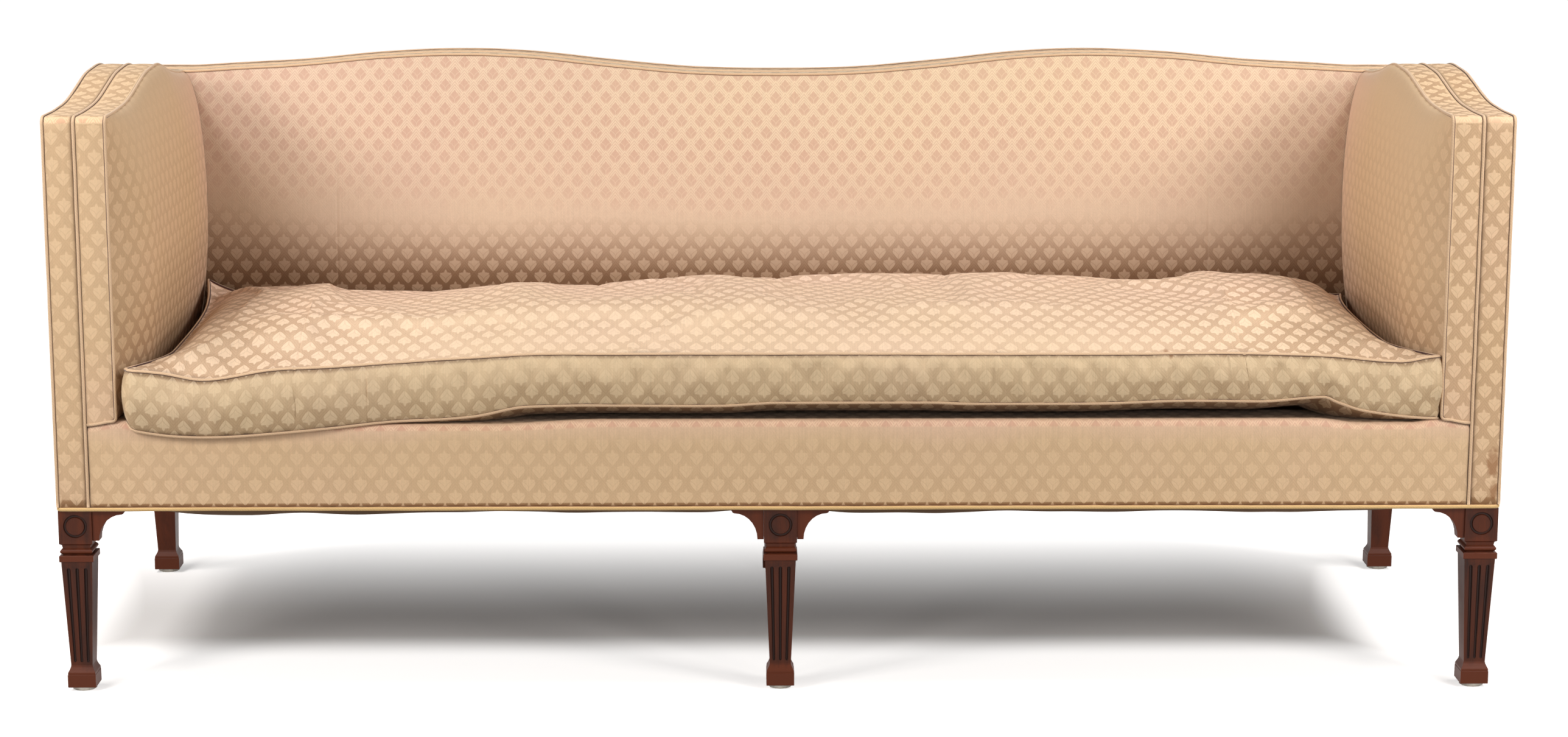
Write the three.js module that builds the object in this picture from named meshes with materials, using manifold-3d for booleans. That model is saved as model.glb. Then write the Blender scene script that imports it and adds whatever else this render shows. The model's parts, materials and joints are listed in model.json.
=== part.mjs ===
// Square-backed camelback sofa: a hardwood frame on six legs, a coil-sprung seat, stuffed arms and
// back under a woven cover, and one loose seat cushion. Millimetres, +Z up. Left and right are as
// seen from the front. The front cover's face lies at y = 0 while the pieces are made, and the last
// step moves the sofa so that its origin is on the floor, under the middle of its box.
import * as THREE from 'three';
import { mergeVertices } from 'three/addons/utils/BufferGeometryUtils.js';
import Module from 'manifold-3d';

const wasm = await Module();
wasm.setup();

// Upholstered body
const bodyWidth = 1995;          // outside arm to outside arm
const bodyDepth = 697;           // front cover to outside back
const undersideHeight = 262;     // floor to the seat rails
const seatHeight = 381.5;        // floor to the seam on the seat's front edge
const armFrontHeight = 805;
const armPeakHeight = 841;
const cornerHeight = 811;        // where the arms run into the back
const crestValleyHeight = 806;   // middle of the back
const crestHumpHeight = 837;     // the two humps of the back
const armSlab = 42;              // outer band of an arm, over its frame
const armBoxing = 42;            // inner band of an arm, round its pad
const backSlab = 46;
const backBoxing = 44;
const topCornerRadius = 9;       // front top corner of an arm
const coverThickness = 3;        // woven cover with its lining
const gap = 0.3;                 // between pieces that touch

// Stuffing
const armCrown = 44;             // how far an arm pad swells towards the seat
const armShoulder = 120;         // depth in which that swelling grows from the front seam
const backCrown = 70;            // how far the back pad swells forward
const backCrownHeight = 530;     // height at which it reaches furthest
const backTuck = 25;             // how far it falls back again at the seat
const padGap = 0.8;              // between two pads that press on each other

// Seat cushion
const cushionSeamLow = 402;      // height of its lower seam
const cushionSeamHigh = 475;     // height of its upper seam
const cushionTop = 500;
const cushionBulge = 8;          // how far its boxing swells out
const cushionSetback = 2;        // its front seam behind the front cover's face
const cushionClearance = 2;      // to the pads and seams round it
const cushionCorner = 14;

// Sewn-in cords
const weltRadius = 2.35;
const baseWeltRadius = 3;
const cornerReach = 3;           // of a cord's bend at a square corner
const baseCornerReach = 4;       // the same for the base cord

// Seat and back frame
const railHeight = 90;
const railThickness = 34;
const braceHeight = 60;
const armRailHeight = 34;
const crestRailWidth = 68;       // where the crest is lowest
const tackRailHeight = 40;
const tackRailThickness = 27;
const uprightWidth = 50;
const nailInsetShare = 1 / 3;    // of a rail's thickness, from its outer face to the dust cloth's edge
const cornerBlockLeg = 80;
const cornerBlockHeight = 70;
const tenonThickness = 12;
const tenonLength = 22;
const tenonShoulder = 10;        // from a rail's edge to its tenon

// Seat suspension
const webWidth = 50;
const webThickness = 2;
const twine = 3;
const canvasThickness = 1.5;
const springRadius = 50;
const springWaist = 32;
const wireRadius = 1.9;
const webOverlapShare = 0.7;     // of a rail's thickness that a web is nailed over

// Legs
const legStock = 46;             // square block at the top of a front leg
const legStandOut = 1.5;         // blocks past the sides of the covers
const legShoulder = 2.4;         // from the rails down to the blocks' shoulder
const blockHeight = 47;
const glideHeight = 5.4;
const glideRadius = 17;
const pinRadiusShare = 1 / 9;    // of a glide's pin to its head
const pinLengthShare = 0.8;      // of the pin to the foot's height
const footHeight = 18.4;
const footHalf = 19.5;
const rearRake = 22;             // rear feet behind their rails
const bracketLength = 45;
const bracketDrop = 45;
const bracketThickness = 20;
const bracketSetback = 3;        // behind the face of the leg's block

// Underneath
const dustSag = 55;
const dustThickness = 1.2;

// Outlines, as shares of the length and of the rise that they follow
const armTopShares = [
  [0, 0], [0.09, 0], [0.16, 0.03], [0.25, 0.12], [0.33, 0.33], [0.41, 0.61], [0.49, 0.86],
  [0.59, 0.975], [0.635, 1], [0.69, 0.92], [0.82, 0.47],
];
const crestShares = [
  [0, 0], [0.13, 0.09], [0.26, 0.46], [0.38, 0.87], [0.487, 1], [0.612, 0.84], [0.732, 0.48],
  [0.843, 0.28],
];

// Places that follow from the sizes above
const bodyHalf = bodyWidth / 2;
const seamHalf = weltRadius + gap;             // from a seam's line to the covers beside it
const edgeCut = seamHalf * Math.SQRT2;         // the covers' corner under a cord
const armSeam = bodyHalf - armSlab;            // middle seam of an arm
const armEdge = armSeam - armBoxing;           // seam round an arm pad
const backSeam = bodyDepth - backSlab;
const backEdge = backSeam - backBoxing;
const frameSide = bodyHalf - coverThickness - gap;
const frameFront = coverThickness + gap;
const frameRear = bodyDepth - frameFront;
const frameInner = armSeam - seamHalf + gap;   // inner face of an arm's frame
const crestRailFoot = Math.min(crestValleyHeight, crestHumpHeight, cornerHeight)
  - coverThickness - gap - crestRailWidth;
const railTop = undersideHeight + railHeight;
const coverFoot = undersideHeight - legShoulder + gap + 2 * baseWeltRadius + gap;
const deckTop = seatHeight - gap / 2;
const padFoot = seatHeight + gap / 2;
const backFrameFront = backSeam + seamHalf + gap + gap;
const twineFoot = railTop + gap;
const canvasFoot = twineFoot + twine + 2 * gap;
const deckFoot = canvasFoot + canvasThickness + gap;
const legAxis = bodyHalf + legStandOut - legStock / 2;
const frontLegAxis = frameFront + legStock / 2;
const rearLegAxis = frameRear - legStock / 2;
const shoulderHeight = undersideHeight - legShoulder;
const pinRadius = glideRadius * pinRadiusShare;
const pinLength = footHeight * pinLengthShare;
const centreTenonHalf = legStock / 3;
const centreTenonLength = railHeight / 2;

const armTopTable = armTopShares.map(([place, rise]) => [
  place * backEdge, armFrontHeight + rise * (armPeakHeight - armFrontHeight)]);
armTopTable.push([backEdge, cornerHeight], [bodyDepth, cornerHeight]);
const crestTable = crestShares.map(([place, rise]) => [
  place * bodyHalf, crestValleyHeight + rise * (crestHumpHeight - crestValleyHeight)]);
crestTable.push([armEdge, cornerHeight], [bodyHalf, cornerHeight]);

// Evenly spaced values from one to another, both included
function steps(from, to, count) {
  return Array.from({ length: count + 1 }, (_, i) => from + ((to - from) * i) / count);
}

// The same, closer together near both ends
function easedSteps(from, to, count) {
  return steps(0, Math.PI, count).map((angle) => from + (to - from) * (1 - Math.cos(angle)) / 2);
}

// A smooth height through a table of places and heights
function along(table, place) {
  const last = table.length - 1;
  const end = table.findIndex(([x]) => x >= place);
  const k = Math.max(1, end < 0 ? last : end);
  const slope = (i) => {
    if (i === 0 || i === last) return 0;
    const [before, here, after] = [table[i - 1], table[i], table[i + 1]];
    if ((after[1] - here[1]) * (here[1] - before[1]) <= 0) return 0;
    return (after[1] - before[1]) / (after[0] - before[0]);
  };
  const [x0, z0] = table[k - 1];
  const [x1, z1] = table[k];
  const run = x1 - x0;
  const t = THREE.MathUtils.clamp((place - x0) / run, 0, 1);
  const rise = THREE.MathUtils.smoothstep(t, 0, 1);
  return z0 + rise * (z1 - z0) + run * t * (1 - t) * ((1 - t) * slope(k - 1) - t * slope(k));
}

const armTop = (y) => along(armTopTable, y);
const crest = (x) => along(crestTable, Math.abs(x));

// Places on both sides of the middle, one spacing apart
function centred(count, spacing) {
  return Array.from({ length: count }, (_, n) => (n - (count - 1) / 2) * spacing);
}

// Places where the pieces of an arm, and those of the crest, have their facets
const armFacets = 14;
const crestFacets = 30;
const armPlaces = steps(topCornerRadius, backEdge, armFacets);
const crestPlaces = steps(-armEdge, armEdge, crestFacets);

// How far the arm pad swells at a depth y, and at a share of its height
const armSwell = (y, share) => armCrown * Math.sqrt(Math.max(0, Math.sin(Math.PI * share)))
  * Math.sin((Math.PI / 2) * Math.min(1, Math.max(0, y) / armShoulder));

// The face of the back pad
function backFace(x, z) {
  const top = crest(x);
  if (z < backCrownHeight) {
    const fall = (backCrownHeight - z) / (backCrownHeight - padFoot);
    return backEdge - backCrown + backTuck * fall * fall;
  }
  const rise = Math.min(1, (z - backCrownHeight) / (top - backCrownHeight));
  return backEdge - backCrown + backCrown * rise * rise;
}

// Solids from triangles
function solid(geometry) {
  const bare = geometry.clone();
  bare.deleteAttribute('normal');
  bare.deleteAttribute('uv');
  const merged = mergeVertices(bare);
  return new wasm.Manifold(new wasm.Mesh({
    numProp: 3,
    vertProperties: new Float32Array(merged.attributes.position.array),
    triVerts: new Uint32Array(merged.index.array),
  }));
}

function geometryOf(body) {
  const mesh = body.getMesh();
  const geometry = new THREE.BufferGeometry();
  geometry.setAttribute('position', new THREE.BufferAttribute(mesh.vertProperties, mesh.numProp));
  geometry.setIndex(new THREE.BufferAttribute(mesh.triVerts, 1));
  return geometry;
}

const cut = (geometry, ...tools) => geometryOf(
  tools.reduce((body, tool) => body.subtract(solid(tool)), solid(geometry)));
const join = (geometry, ...others) => geometryOf(
  others.reduce((body, other) => body.add(solid(other)), solid(geometry)));

// A geometry from points and triangles, with its faces turned outwards
function outward(points, triangles) {
  let volume = 0;
  const normal = new THREE.Vector3();
  for (const [a, b, c] of triangles) {
    volume += normal.crossVectors(points[a], points[b]).dot(points[c]);
  }
  const turned = volume < 0 ? triangles.map(([a, b, c]) => [c, b, a]) : triangles;
  const geometry = new THREE.BufferGeometry().setFromPoints(points);
  geometry.setIndex(turned.flat());
  return geometry;
}

function mirrored(geometry) {
  const flipped = geometry.clone().scale(-1, 1, 1);
  const plain = flipped.index ? flipped.toNonIndexed() : flipped;
  const places = plain.attributes.position;
  for (let i = 0; i < places.count; i += 3) {
    const second = new THREE.Vector3().fromBufferAttribute(places, i + 1);
    const third = new THREE.Vector3().fromBufferAttribute(places, i + 2);
    places.setXYZ(i + 1, third.x, third.y, third.z);
    places.setXYZ(i + 2, second.x, second.y, second.z);
  }
  plain.deleteAttribute('normal');
  plain.deleteAttribute('uv');
  return mergeVertices(plain);
}

const frontView = (point) => new THREE.Vector2(point.x, point.z);
const sideView = (point) => new THREE.Vector2(point.y, point.z);
const planView = (point) => new THREE.Vector2(point.x, point.y);

// Triangles that close a flat loop of points, along the loop's direction or against it
function cap(triangles, points, loop, view, against) {
  const contour = loop.map((index) => view(points[index]));
  const direction = Math.sign(THREE.ShapeUtils.area(contour));
  for (const [a, b, c] of THREE.ShapeUtils.triangulateShape(contour, [])) {
    const turn = Math.sign(THREE.ShapeUtils.area([contour[a], contour[b], contour[c]]));
    const same = turn === direction;
    triangles.push(same === against ? [loop[c], loop[b], loop[a]] : [loop[a], loop[b], loop[c]]);
  }
}

function strip(triangles, inner, outer) {
  for (let k = 0; k < inner.length; k++) {
    const next = (k + 1) % inner.length;
    triangles.push([inner[next], inner[k], outer[k]], [inner[next], outer[k], outer[next]]);
  }
}

// A closed solid through rings of points, flat at both ends
function loft(rings, view) {
  const points = [];
  const triangles = [];
  const loops = rings.map((ring) => ring.map((point) => points.push(point) - 1));
  cap(triangles, points, loops[0], view, false);
  loops.slice(1).forEach((loop, k) => strip(triangles, loops[k], loop));
  cap(triangles, points, loops[loops.length - 1], view, true);
  return outward(points, triangles);
}

// The border of a grid, once round
function borderOf(columns, rows) {
  const loop = [];
  for (let i = 0; i < columns; i++) loop.push([i, 0]);
  for (let j = 0; j < rows; j++) loop.push([columns, j]);
  for (let i = columns; i > 0; i--) loop.push([i, rows]);
  for (let j = rows; j > 0; j--) loop.push([0, j]);
  return loop;
}

// A grid of points with its quads' triangles
function gridFace(points, triangles, columns, rows, place) {
  const first = points.length;
  const at = (i, j) => first + i * (rows + 1) + j;
  for (let i = 0; i <= columns; i++) {
    for (let j = 0; j <= rows; j++) points.push(place(i, j));
  }
  for (let i = 0; i < columns; i++) {
    for (let j = 0; j < rows; j++) {
      triangles.push([at(i, j), at(i + 1, j), at(i + 1, j + 1)]);
      triangles.push([at(i, j), at(i + 1, j + 1), at(i, j + 1)]);
    }
  }
  return borderOf(columns, rows).map(([i, j]) => at(i, j));
}

// A stuffed pad: a swelling face, the rims round it, and a flat back
function stuffedPad(columns, rows, face, rims, view) {
  const points = [];
  const triangles = [];
  let loop = gridFace(points, triangles, columns, rows, face);
  for (const rim of rims) {
    const next = borderOf(columns, rows).map(([i, j]) => points.push(rim(i, j)) - 1);
    strip(triangles, loop, next);
    loop = next;
  }
  cap(triangles, points, loop, view, true);
  return outward(points, triangles);
}

// A thin sheet over a grid of places, as thick as the given vector
function clothSheet(columns, rows, place, thickness) {
  const points = [];
  const triangles = [];
  const lower = gridFace(points, triangles, columns, rows, place);
  const back = [];
  const upper = gridFace(points, back, columns, rows, (i, j) => place(i, j).add(thickness));
  for (const [a, b, c] of back) triangles.push([c, b, a]);
  strip(triangles, lower, upper);
  return outward(points, triangles);
}

function box([x0, x1], [y0, y1], [z0, z1]) {
  const geometry = new THREE.BoxGeometry(x1 - x0, y1 - y0, z1 - z0);
  return geometry.translate((x0 + x1) / 2, (y0 + y1) / 2, (z0 + z1) / 2);
}

// A board sawn to an outline that is drawn from the side, between two places across the sofa
function sideBoard(outline, from, to) {
  const shape = new THREE.Shape(outline.map(([y, z]) => new THREE.Vector2(y, z)));
  const board = new THREE.ExtrudeGeometry(shape, { depth: to - from, bevelEnabled: false });
  const turn = new THREE.Matrix4().makeBasis(new THREE.Vector3(0, 1, 0),
    new THREE.Vector3(0, 0, 1), new THREE.Vector3(1, 0, 0));
  return board.applyMatrix4(turn).translate(from, 0, 0);
}

// A board sawn to an outline that is drawn from the front, between two depths
function frontBoard(outline, from, to) {
  const shape = new THREE.Shape(outline.map(([x, z]) => new THREE.Vector2(x, z)));
  const board = new THREE.ExtrudeGeometry(shape, { depth: to - from, bevelEnabled: false });
  return board.rotateX(Math.PI / 2).translate(0, to, 0);
}

// A board sawn to an outline in plan, between two heights
function planBoard(outline, from, to) {
  const shape = new THREE.Shape(outline.map(([x, y]) => new THREE.Vector2(x, y)));
  const board = new THREE.ExtrudeGeometry(shape, { depth: to - from, bevelEnabled: false });
  return board.translate(0, 0, from);
}

// A path whose rings stand at the chosen points, square to the path
class CordPath extends THREE.Curve {
  constructor(points) {
    super();
    this.points = points;
  }

  getPointAt(share, target = new THREE.Vector3()) {
    const place = share * (this.points.length - 1);
    return target.copy(this.points[Math.round(place)]);
  }

  getTangentAt(share, target = new THREE.Vector3()) {
    const last = this.points.length - 1;
    const k = Math.round(share * last);
    const ahead = this.points[Math.min(last, k + 1)].clone().sub(this.points[k]).normalize();
    const behind = this.points[k].clone().sub(this.points[Math.max(0, k - 1)]).normalize();
    return target.copy(ahead.add(behind)).normalize();
  }
}

function cord(points, radius, sides = 6) {
  const section = new THREE.Shape(Array.from({ length: sides }, (_, k) => new THREE.Vector2(
    radius * Math.cos((2 * Math.PI * k) / sides), radius * Math.sin((2 * Math.PI * k) / sides))));
  return new THREE.ExtrudeGeometry(section, {
    steps: points.length - 1,
    extrudePath: new CordPath(points),
    bevelEnabled: false,
  });
}

// The colour and finish of each kind of piece
const finishes = {
  mahogany: { color: 0x47211a, roughness: 0.38, metalness: 0 },
  frameWood: { color: 0xb08a5c, roughness: 0.75, metalness: 0 },
  cover: { color: 0xd3ae84, roughness: 0.8, metalness: 0 },
  insideCover: { color: 0xd2a58a, roughness: 0.8, metalness: 0 },
  cushionCover: { color: 0xd0a88a, roughness: 0.8, metalness: 0 },
  cordCover: { color: 0xcfa67d, roughness: 0.85, metalness: 0 },
  baseCord: { color: 0xd9ac78, roughness: 0.85, metalness: 0 },
  dustCloth: { color: 0x6f5742, roughness: 0.95, metalness: 0 },
  jute: { color: 0xa98a5b, roughness: 0.95, metalness: 0 },
  steel: { color: 0x6d6a66, roughness: 0.45, metalness: 1 },
};

const sofa = new THREE.Group();

function add(name, geometry, finish) {
  const mesh = new THREE.Mesh(geometry, new THREE.MeshStandardMaterial(finishes[finish]));
  mesh.name = name;
  sofa.add(mesh);
}

function addPair(name, geometry, finish) {
  add(`${name}_left`, mirrored(geometry), finish);
  add(`${name}_right`, geometry, finish);
}

addLegs();
addBrackets();
addSeatFrame();
addArmFrames();
addBackFrame();
addSuspension();
addSeatCovers();
addArmCovers();
addBackCovers();
addDustCover();
addBodyCords();
addCushion();

const frontmost = cushionSetback - cushionBulge;
const rearmost = rearLegAxis + rearRake + footHalf;
sofa.position.y = -(frontmost + rearmost) / 2;

// A square section of a leg
function legRing(x, y, halfX, halfY, z) {
  return [[-halfX, -halfY], [halfX, -halfY], [halfX, halfY], [-halfX, halfY]].map(
    ([dx, dy]) => new THREE.Vector3(x + dx, y + dy, z));
}

// The levels that every foot shares, from the floor's glide up to the ankle
function footLevels(ankleHalf) {
  const footTop = glideHeight + footHeight;
  const ogeeHeight = 13;
  const footEase = 0.6;
  const ogeeShares = [[0.03, 0.93], [0.25, 0.88], [0.5, 0.5], [0.78, 0.14], [1, 0]];
  const levels = [
    [footHalf - footEase, glideHeight], [footHalf, glideHeight + footEase],
    [footHalf, footTop - footEase], [footHalf - footEase, footTop],
  ];
  for (const [up, out] of ogeeShares) {
    levels.push([ankleHalf + out * (footHalf - ankleHalf), footTop + up * ogeeHeight]);
  }
  return levels;
}

// A stopped flute with round ends, as a cutter that follows the taper of a front leg's face
function fluteCutter(axisX, axisY, foot, head, place) {
  const sides = 8;
  const endShares = [[0, 0.25], [0.3, 0.75], [1, 1]];
  const tool = [];
  const level = (z, share) => {
    const t = (z - foot.z) / (head.z - foot.z);
    const radius = THREE.MathUtils.lerp(foot.flute, head.flute, t) * share;
    const half = THREE.MathUtils.lerp(foot.half, head.half, t);
    const centre = axisX + place * THREE.MathUtils.lerp(foot.spread, head.spread, t);
    tool.push(Array.from({ length: sides }, (_, k) => {
      const angle = (2 * Math.PI * (k + 1 / 2)) / sides;
      return new THREE.Vector3(centre + radius * Math.cos(angle),
        axisY - half + radius * Math.sin(angle), z);
    }));
  };
  for (const [up, share] of endShares) level(foot.fluteEnd + up * foot.flute, share);
  for (const [down, share] of [...endShares].reverse()) {
    level(head.fluteEnd - down * head.flute, share);
  }
  return loft(tool, planView);
}

// A front leg below its rail: block with roundel, neck, collar, fluted taper and square foot
function frontLegShape(axisX, faces) {
  const neckHalf = 19;
  const beadHalf = 22.4;
  const collarHalf = 23.6;
  const shaftTopHalf = 21.4;
  const ankleHalf = 14.9;
  const neckHeight = 6.6;
  const beadHeight = 9;
  const quirk = 1;
  const collarHeight = 9.2;
  const collarEase = 0.8;
  const fluteWide = 2.8;
  const fluteNarrow = 1.9;
  const fluteStart = 9;
  const fluteSpreadTop = 12;
  const fluteSpreadFoot = 8.8;
  const roundelRadius = 14.4;
  const roundelGroove = 2.1;
  const roundelRise = 1.5;
  const roundelSides = 6;
  const roundelSteps = 24;
  const beadSides = 5;
  const coveOutShare = 0.2;
  const coveDownShare = 1 / 3;
  const axisY = frontLegAxis;
  const blockFoot = shoulderHeight - blockHeight;
  const beadTop = blockFoot - neckHeight;
  const collarTop = beadTop - beadHeight - quirk;
  const shaftTop = collarTop - collarHeight;
  const levels = footLevels(ankleHalf);
  const ankle = levels[levels.length - 1][1];
  levels.push([shaftTopHalf, shaftTop - gap], [collarHalf - collarEase, shaftTop]);
  levels.push([collarHalf, shaftTop + collarEase], [collarHalf, collarTop - collarEase]);
  levels.push([collarHalf - collarEase, collarTop], [neckHalf, collarTop + quirk / 2]);
  for (const t of steps(0, 1, beadSides)) {
    levels.push([neckHalf + (beadHalf - neckHalf) * Math.sin(Math.PI * t),
      collarTop + quirk + beadHeight * t]);
  }
  levels.push([neckHalf + coveOutShare * (legStock / 2 - neckHalf),
    blockFoot - coveDownShare * neckHeight]);
  levels.push([legStock / 2, blockFoot], [legStock / 2, shoulderHeight]);
  const rings = levels.map(([half, z]) => legRing(axisX, axisY, half, half, z));
  const foot = { z: ankle, half: ankleHalf, flute: fluteNarrow, spread: fluteSpreadFoot,
    fluteEnd: ankle + fluteStart / 2 };
  const head = { z: shaftTop, half: shaftTopHalf, flute: fluteWide, spread: fluteSpreadTop,
    fluteEnd: shaftTop - fluteStart };
  const front = [-1, 0, 1].map((place) => fluteCutter(axisX, axisY, foot, head, place));
  const roundel = new THREE.TorusGeometry(roundelRadius, roundelGroove, roundelSides, roundelSteps);
  const roundelHeight = blockFoot + blockHeight / 2 + roundelRise;
  roundel.rotateX(Math.PI / 2).translate(axisX, axisY - legStock / 2, roundelHeight);
  front.push(roundel);
  const tools = [...front];
  if (faces === 2) {
    for (const tool of front) {
      const side = tool.clone().translate(-axisX, -axisY, 0).rotateZ(Math.PI / 2);
      tools.push(side.translate(axisX, axisY, 0));
    }
  }
  return { rings, tools };
}

// A rear leg below its rail: a plain raked taper on the same square foot
function rearLegShape(axisX) {
  const ankleHalf = 14.2;
  const topHalf = 22.4;
  const levels = footLevels(ankleHalf);
  const footTop = glideHeight + footHeight;
  const rings = levels.map(([half, z]) => {
    const down = Math.min(1, (shoulderHeight - z) / (shoulderHeight - footTop));
    return legRing(axisX, rearLegAxis + rearRake * down, half, half, z);
  });
  rings.push(legRing(axisX, rearLegAxis, topHalf, topHalf, shoulderHeight));
  return { rings, tools: [] };
}

// The bore in a foot for the glide's pin
function glideBore(x, y) {
  const sides = 8;
  const radius = pinRadius + gap;
  const depth = pinLength + gap;
  const bore = new THREE.CylinderGeometry(radius, radius, depth, sides).rotateX(Math.PI / 2);
  return bore.translate(x, y, glideHeight + depth / 2);
}

// A steel glide: a domed disc under the foot, and its pin
function glide(x, y) {
  const sides = 12;
  const ease = glideHeight / 5;
  const top = glideHeight - gap;
  const pinTop = glideHeight + pinLength - gap;
  const profile = [
    [0, 0], [glideRadius - ease, 0], [glideRadius, ease], [glideRadius, top],
    [pinRadius, top], [pinRadius, pinTop], [0, pinTop],
  ].map(([radius, z]) => new THREE.Vector2(radius, z));
  return new THREE.LatheGeometry(profile, sides).rotateX(Math.PI / 2).translate(x, y, 0);
}

// The mortise cutters for the rails that meet a corner post
function postMortises(frontal) {
  const wide = tenonThickness / 2 + gap;
  const low = undersideHeight + tenonShoulder - gap;
  const high = railTop - tenonShoulder + gap;
  const alongX = frontal ? frameFront + railThickness / 2 : frameRear - railThickness / 2;
  const alongY = frameSide - railThickness / 2;
  const inner = legAxis - legStock / 2;
  const face = frontal ? frontLegAxis + legStock / 2 : rearLegAxis - legStock / 2;
  const deep = tenonLength + gap;
  return [
    box([inner - deep, inner + deep], [alongX - wide, alongX + wide], [low, high]),
    box([alongY - wide, alongY + wide], [face - deep, face + deep], [low, high]),
  ];
}

function addLegs() {
  const inner = legAxis - legStock / 2;
  const postX = (inner + frameSide) / 2;
  const postHalf = (frameSide - inner) / 2;
  const post = (y, z) => legRing(postX, y, postHalf, legStock / 2, z);

  const front = frontLegShape(legAxis, 2);
  const rear = rearLegShape(legAxis);
  const corners = [[front, frontLegAxis, frontLegAxis, 'front'],
    [rear, rearLegAxis, rearLegAxis + rearRake, 'rear']];
  for (const [shape, y, footY, end] of corners) {
    const rings = [...shape.rings, post(y, shoulderHeight), post(y, railTop)];
    const leg = cut(loft(rings, planView), ...shape.tools, ...postMortises(end === 'front'),
      glideBore(legAxis, footY));
    add(`${end}_leg_left`, mirrored(leg), 'mahogany');
    add(`${end}_leg_right`, leg, 'mahogany');
    add(`${end}_glide_left`, mirrored(glide(legAxis, footY)), 'steel');
    add(`${end}_glide_right`, glide(legAxis, footY), 'steel');
  }

  const centres = [[frontLegShape(0, 1), frontLegAxis, frontLegAxis, 'front'],
    [rearLegShape(0), rearLegAxis, rearLegAxis + rearRake, 'rear']];
  for (const [shape, y, footY, end] of centres) {
    const last = shape.rings[shape.rings.length - 1];
    const lift = undersideHeight - gap;
    const block = last.map((point) => point.clone().setZ(lift));
    const tenonY = end === 'front' ? frameFront + railThickness / 2 : frameRear - railThickness / 2;
    const tenon = (z) => legRing(0, tenonY, centreTenonHalf, tenonThickness / 2, z);
    const tenonTop = undersideHeight + centreTenonLength - gap;
    const rings = [...shape.rings, block, tenon(lift), tenon(tenonTop)];
    add(`${end}_leg_centre`, cut(loft(rings, planView), ...shape.tools, glideBore(0, footY)),
      'mahogany');
    add(`${end}_glide_centre`, glide(0, footY), 'steel');
  }
}

// The sawn brackets under the front rail, each with a hollow curve and a small nose
function addBrackets() {
  const top = undersideHeight - gap;
  const endWidth = 8.7;
  const nose = 8;
  const front = frontLegAxis - legStock / 2 + bracketSetback;
  const curveSides = 7;
  const noseShares = [[1 / 4, 0.9], [0, 1 / 2], [0, 0]];
  const outline = (from, way) => {
    const points = [[from, top], [from, top - bracketDrop], [from + way * endWidth, top - bracketDrop]];
    const runX = bracketLength - endWidth - nose / 2;
    const runZ = bracketDrop - nose;
    for (const t of steps(0, 1, curveSides)) {
      const angle = (Math.PI / 2) * t;
      points.push([from + way * (endWidth + runX * (1 - Math.cos(angle))),
        top - bracketDrop + runZ * Math.sin(angle)]);
    }
    for (const [inward, down] of noseShares) {
      points.push([from + way * (bracketLength - inward * nose), top - down * nose]);
    }
    return points;
  };
  const cornerFace = legAxis - legStock / 2 - gap;
  const centreFace = legStock / 2 + gap;
  const corner = frontBoard(outline(cornerFace, -1), front, front + bracketThickness);
  const centre = frontBoard(outline(centreFace, 1), front, front + bracketThickness);
  addPair('bracket', corner, 'mahogany');
  addPair('centre_bracket', centre, 'mahogany');
}

// A rail with a tenon at both ends, between two places along one axis
function tenonedRail(across, alongY, from, to) {
  const middle = (across[0] + across[1]) / 2;
  const tenonAcross = [middle - tenonThickness / 2, middle + tenonThickness / 2];
  const tenonHeights = [undersideHeight + tenonShoulder, railTop - tenonShoulder];
  const bar = (length, width, heights) => (
    alongY ? box(width, length, heights) : box(length, width, heights));
  return join(bar([from, to], across, [undersideHeight, railTop]),
    bar([from - tenonLength, to + tenonLength], tenonAcross, tenonHeights));
}

function addSeatFrame() {
  const railEnd = legAxis - legStock / 2 - gap;
  const mortiseHalf = centreTenonHalf + gap;
  const mortiseTop = undersideHeight + centreTenonLength;
  const frontDepth = [frameFront, frameFront + railThickness];
  const rearDepth = [frameRear - railThickness, frameRear];
  for (const [name, depth] of [['front_rail', frontDepth], ['back_rail', rearDepth]]) {
    const middle = (depth[0] + depth[1]) / 2;
    const half = tenonThickness / 2 + gap;
    const mortise = box([-mortiseHalf, mortiseHalf], [middle - half, middle + half],
      [undersideHeight - tenonShoulder, mortiseTop]);
    add(name, cut(tenonedRail(depth, false, -railEnd, railEnd), mortise), 'frameWood');
  }

  const sideFrom = frontLegAxis + legStock / 2 + gap;
  const sideTo = rearLegAxis - legStock / 2 - gap;
  const side = tenonedRail([frameSide - railThickness, frameSide], true, sideFrom, sideTo);
  addPair('side_rail', side, 'frameWood');

  // The brace between the centre legs, hollowed on top so that the webbing can give
  const braceFront = frontDepth[1] + gap;
  const braceBack = rearDepth[0] - gap;
  const hollow = braceHeight / 2;
  const hollowSides = 8;
  const braceTop = steps(braceBack, braceFront, hollowSides).map((y) => {
    const t = (y - braceFront) / (braceBack - braceFront);
    return [y, undersideHeight + braceHeight - hollow * Math.sin(Math.PI * t)];
  });
  const brace = [[braceFront, undersideHeight], [braceBack, undersideHeight], ...braceTop];
  add('seat_brace', sideBoard(brace, -railThickness / 2, railThickness / 2), 'frameWood');

  // The blocks glued into the corners, notched round the posts
  const blockFoot = undersideHeight + (railHeight - cornerBlockHeight) / 2;
  const sideFace = frameSide - railThickness - gap;
  for (const [end, railFace, postFace, way] of [
    ['front', frontDepth[1] + gap, sideFrom, 1], ['rear', rearDepth[0] - gap, sideTo, -1]]) {
    const outline = [
      [railEnd - cornerBlockLeg, railFace], [railEnd, railFace], [railEnd, postFace],
      [sideFace, postFace], [sideFace, postFace + way * cornerBlockLeg],
    ];
    const block = planBoard(outline, blockFoot, blockFoot + cornerBlockHeight);
    add(`${end}_corner_block_left`, mirrored(block), 'frameWood');
    add(`${end}_corner_block_right`, block, 'frameWood');
  }
}

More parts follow.
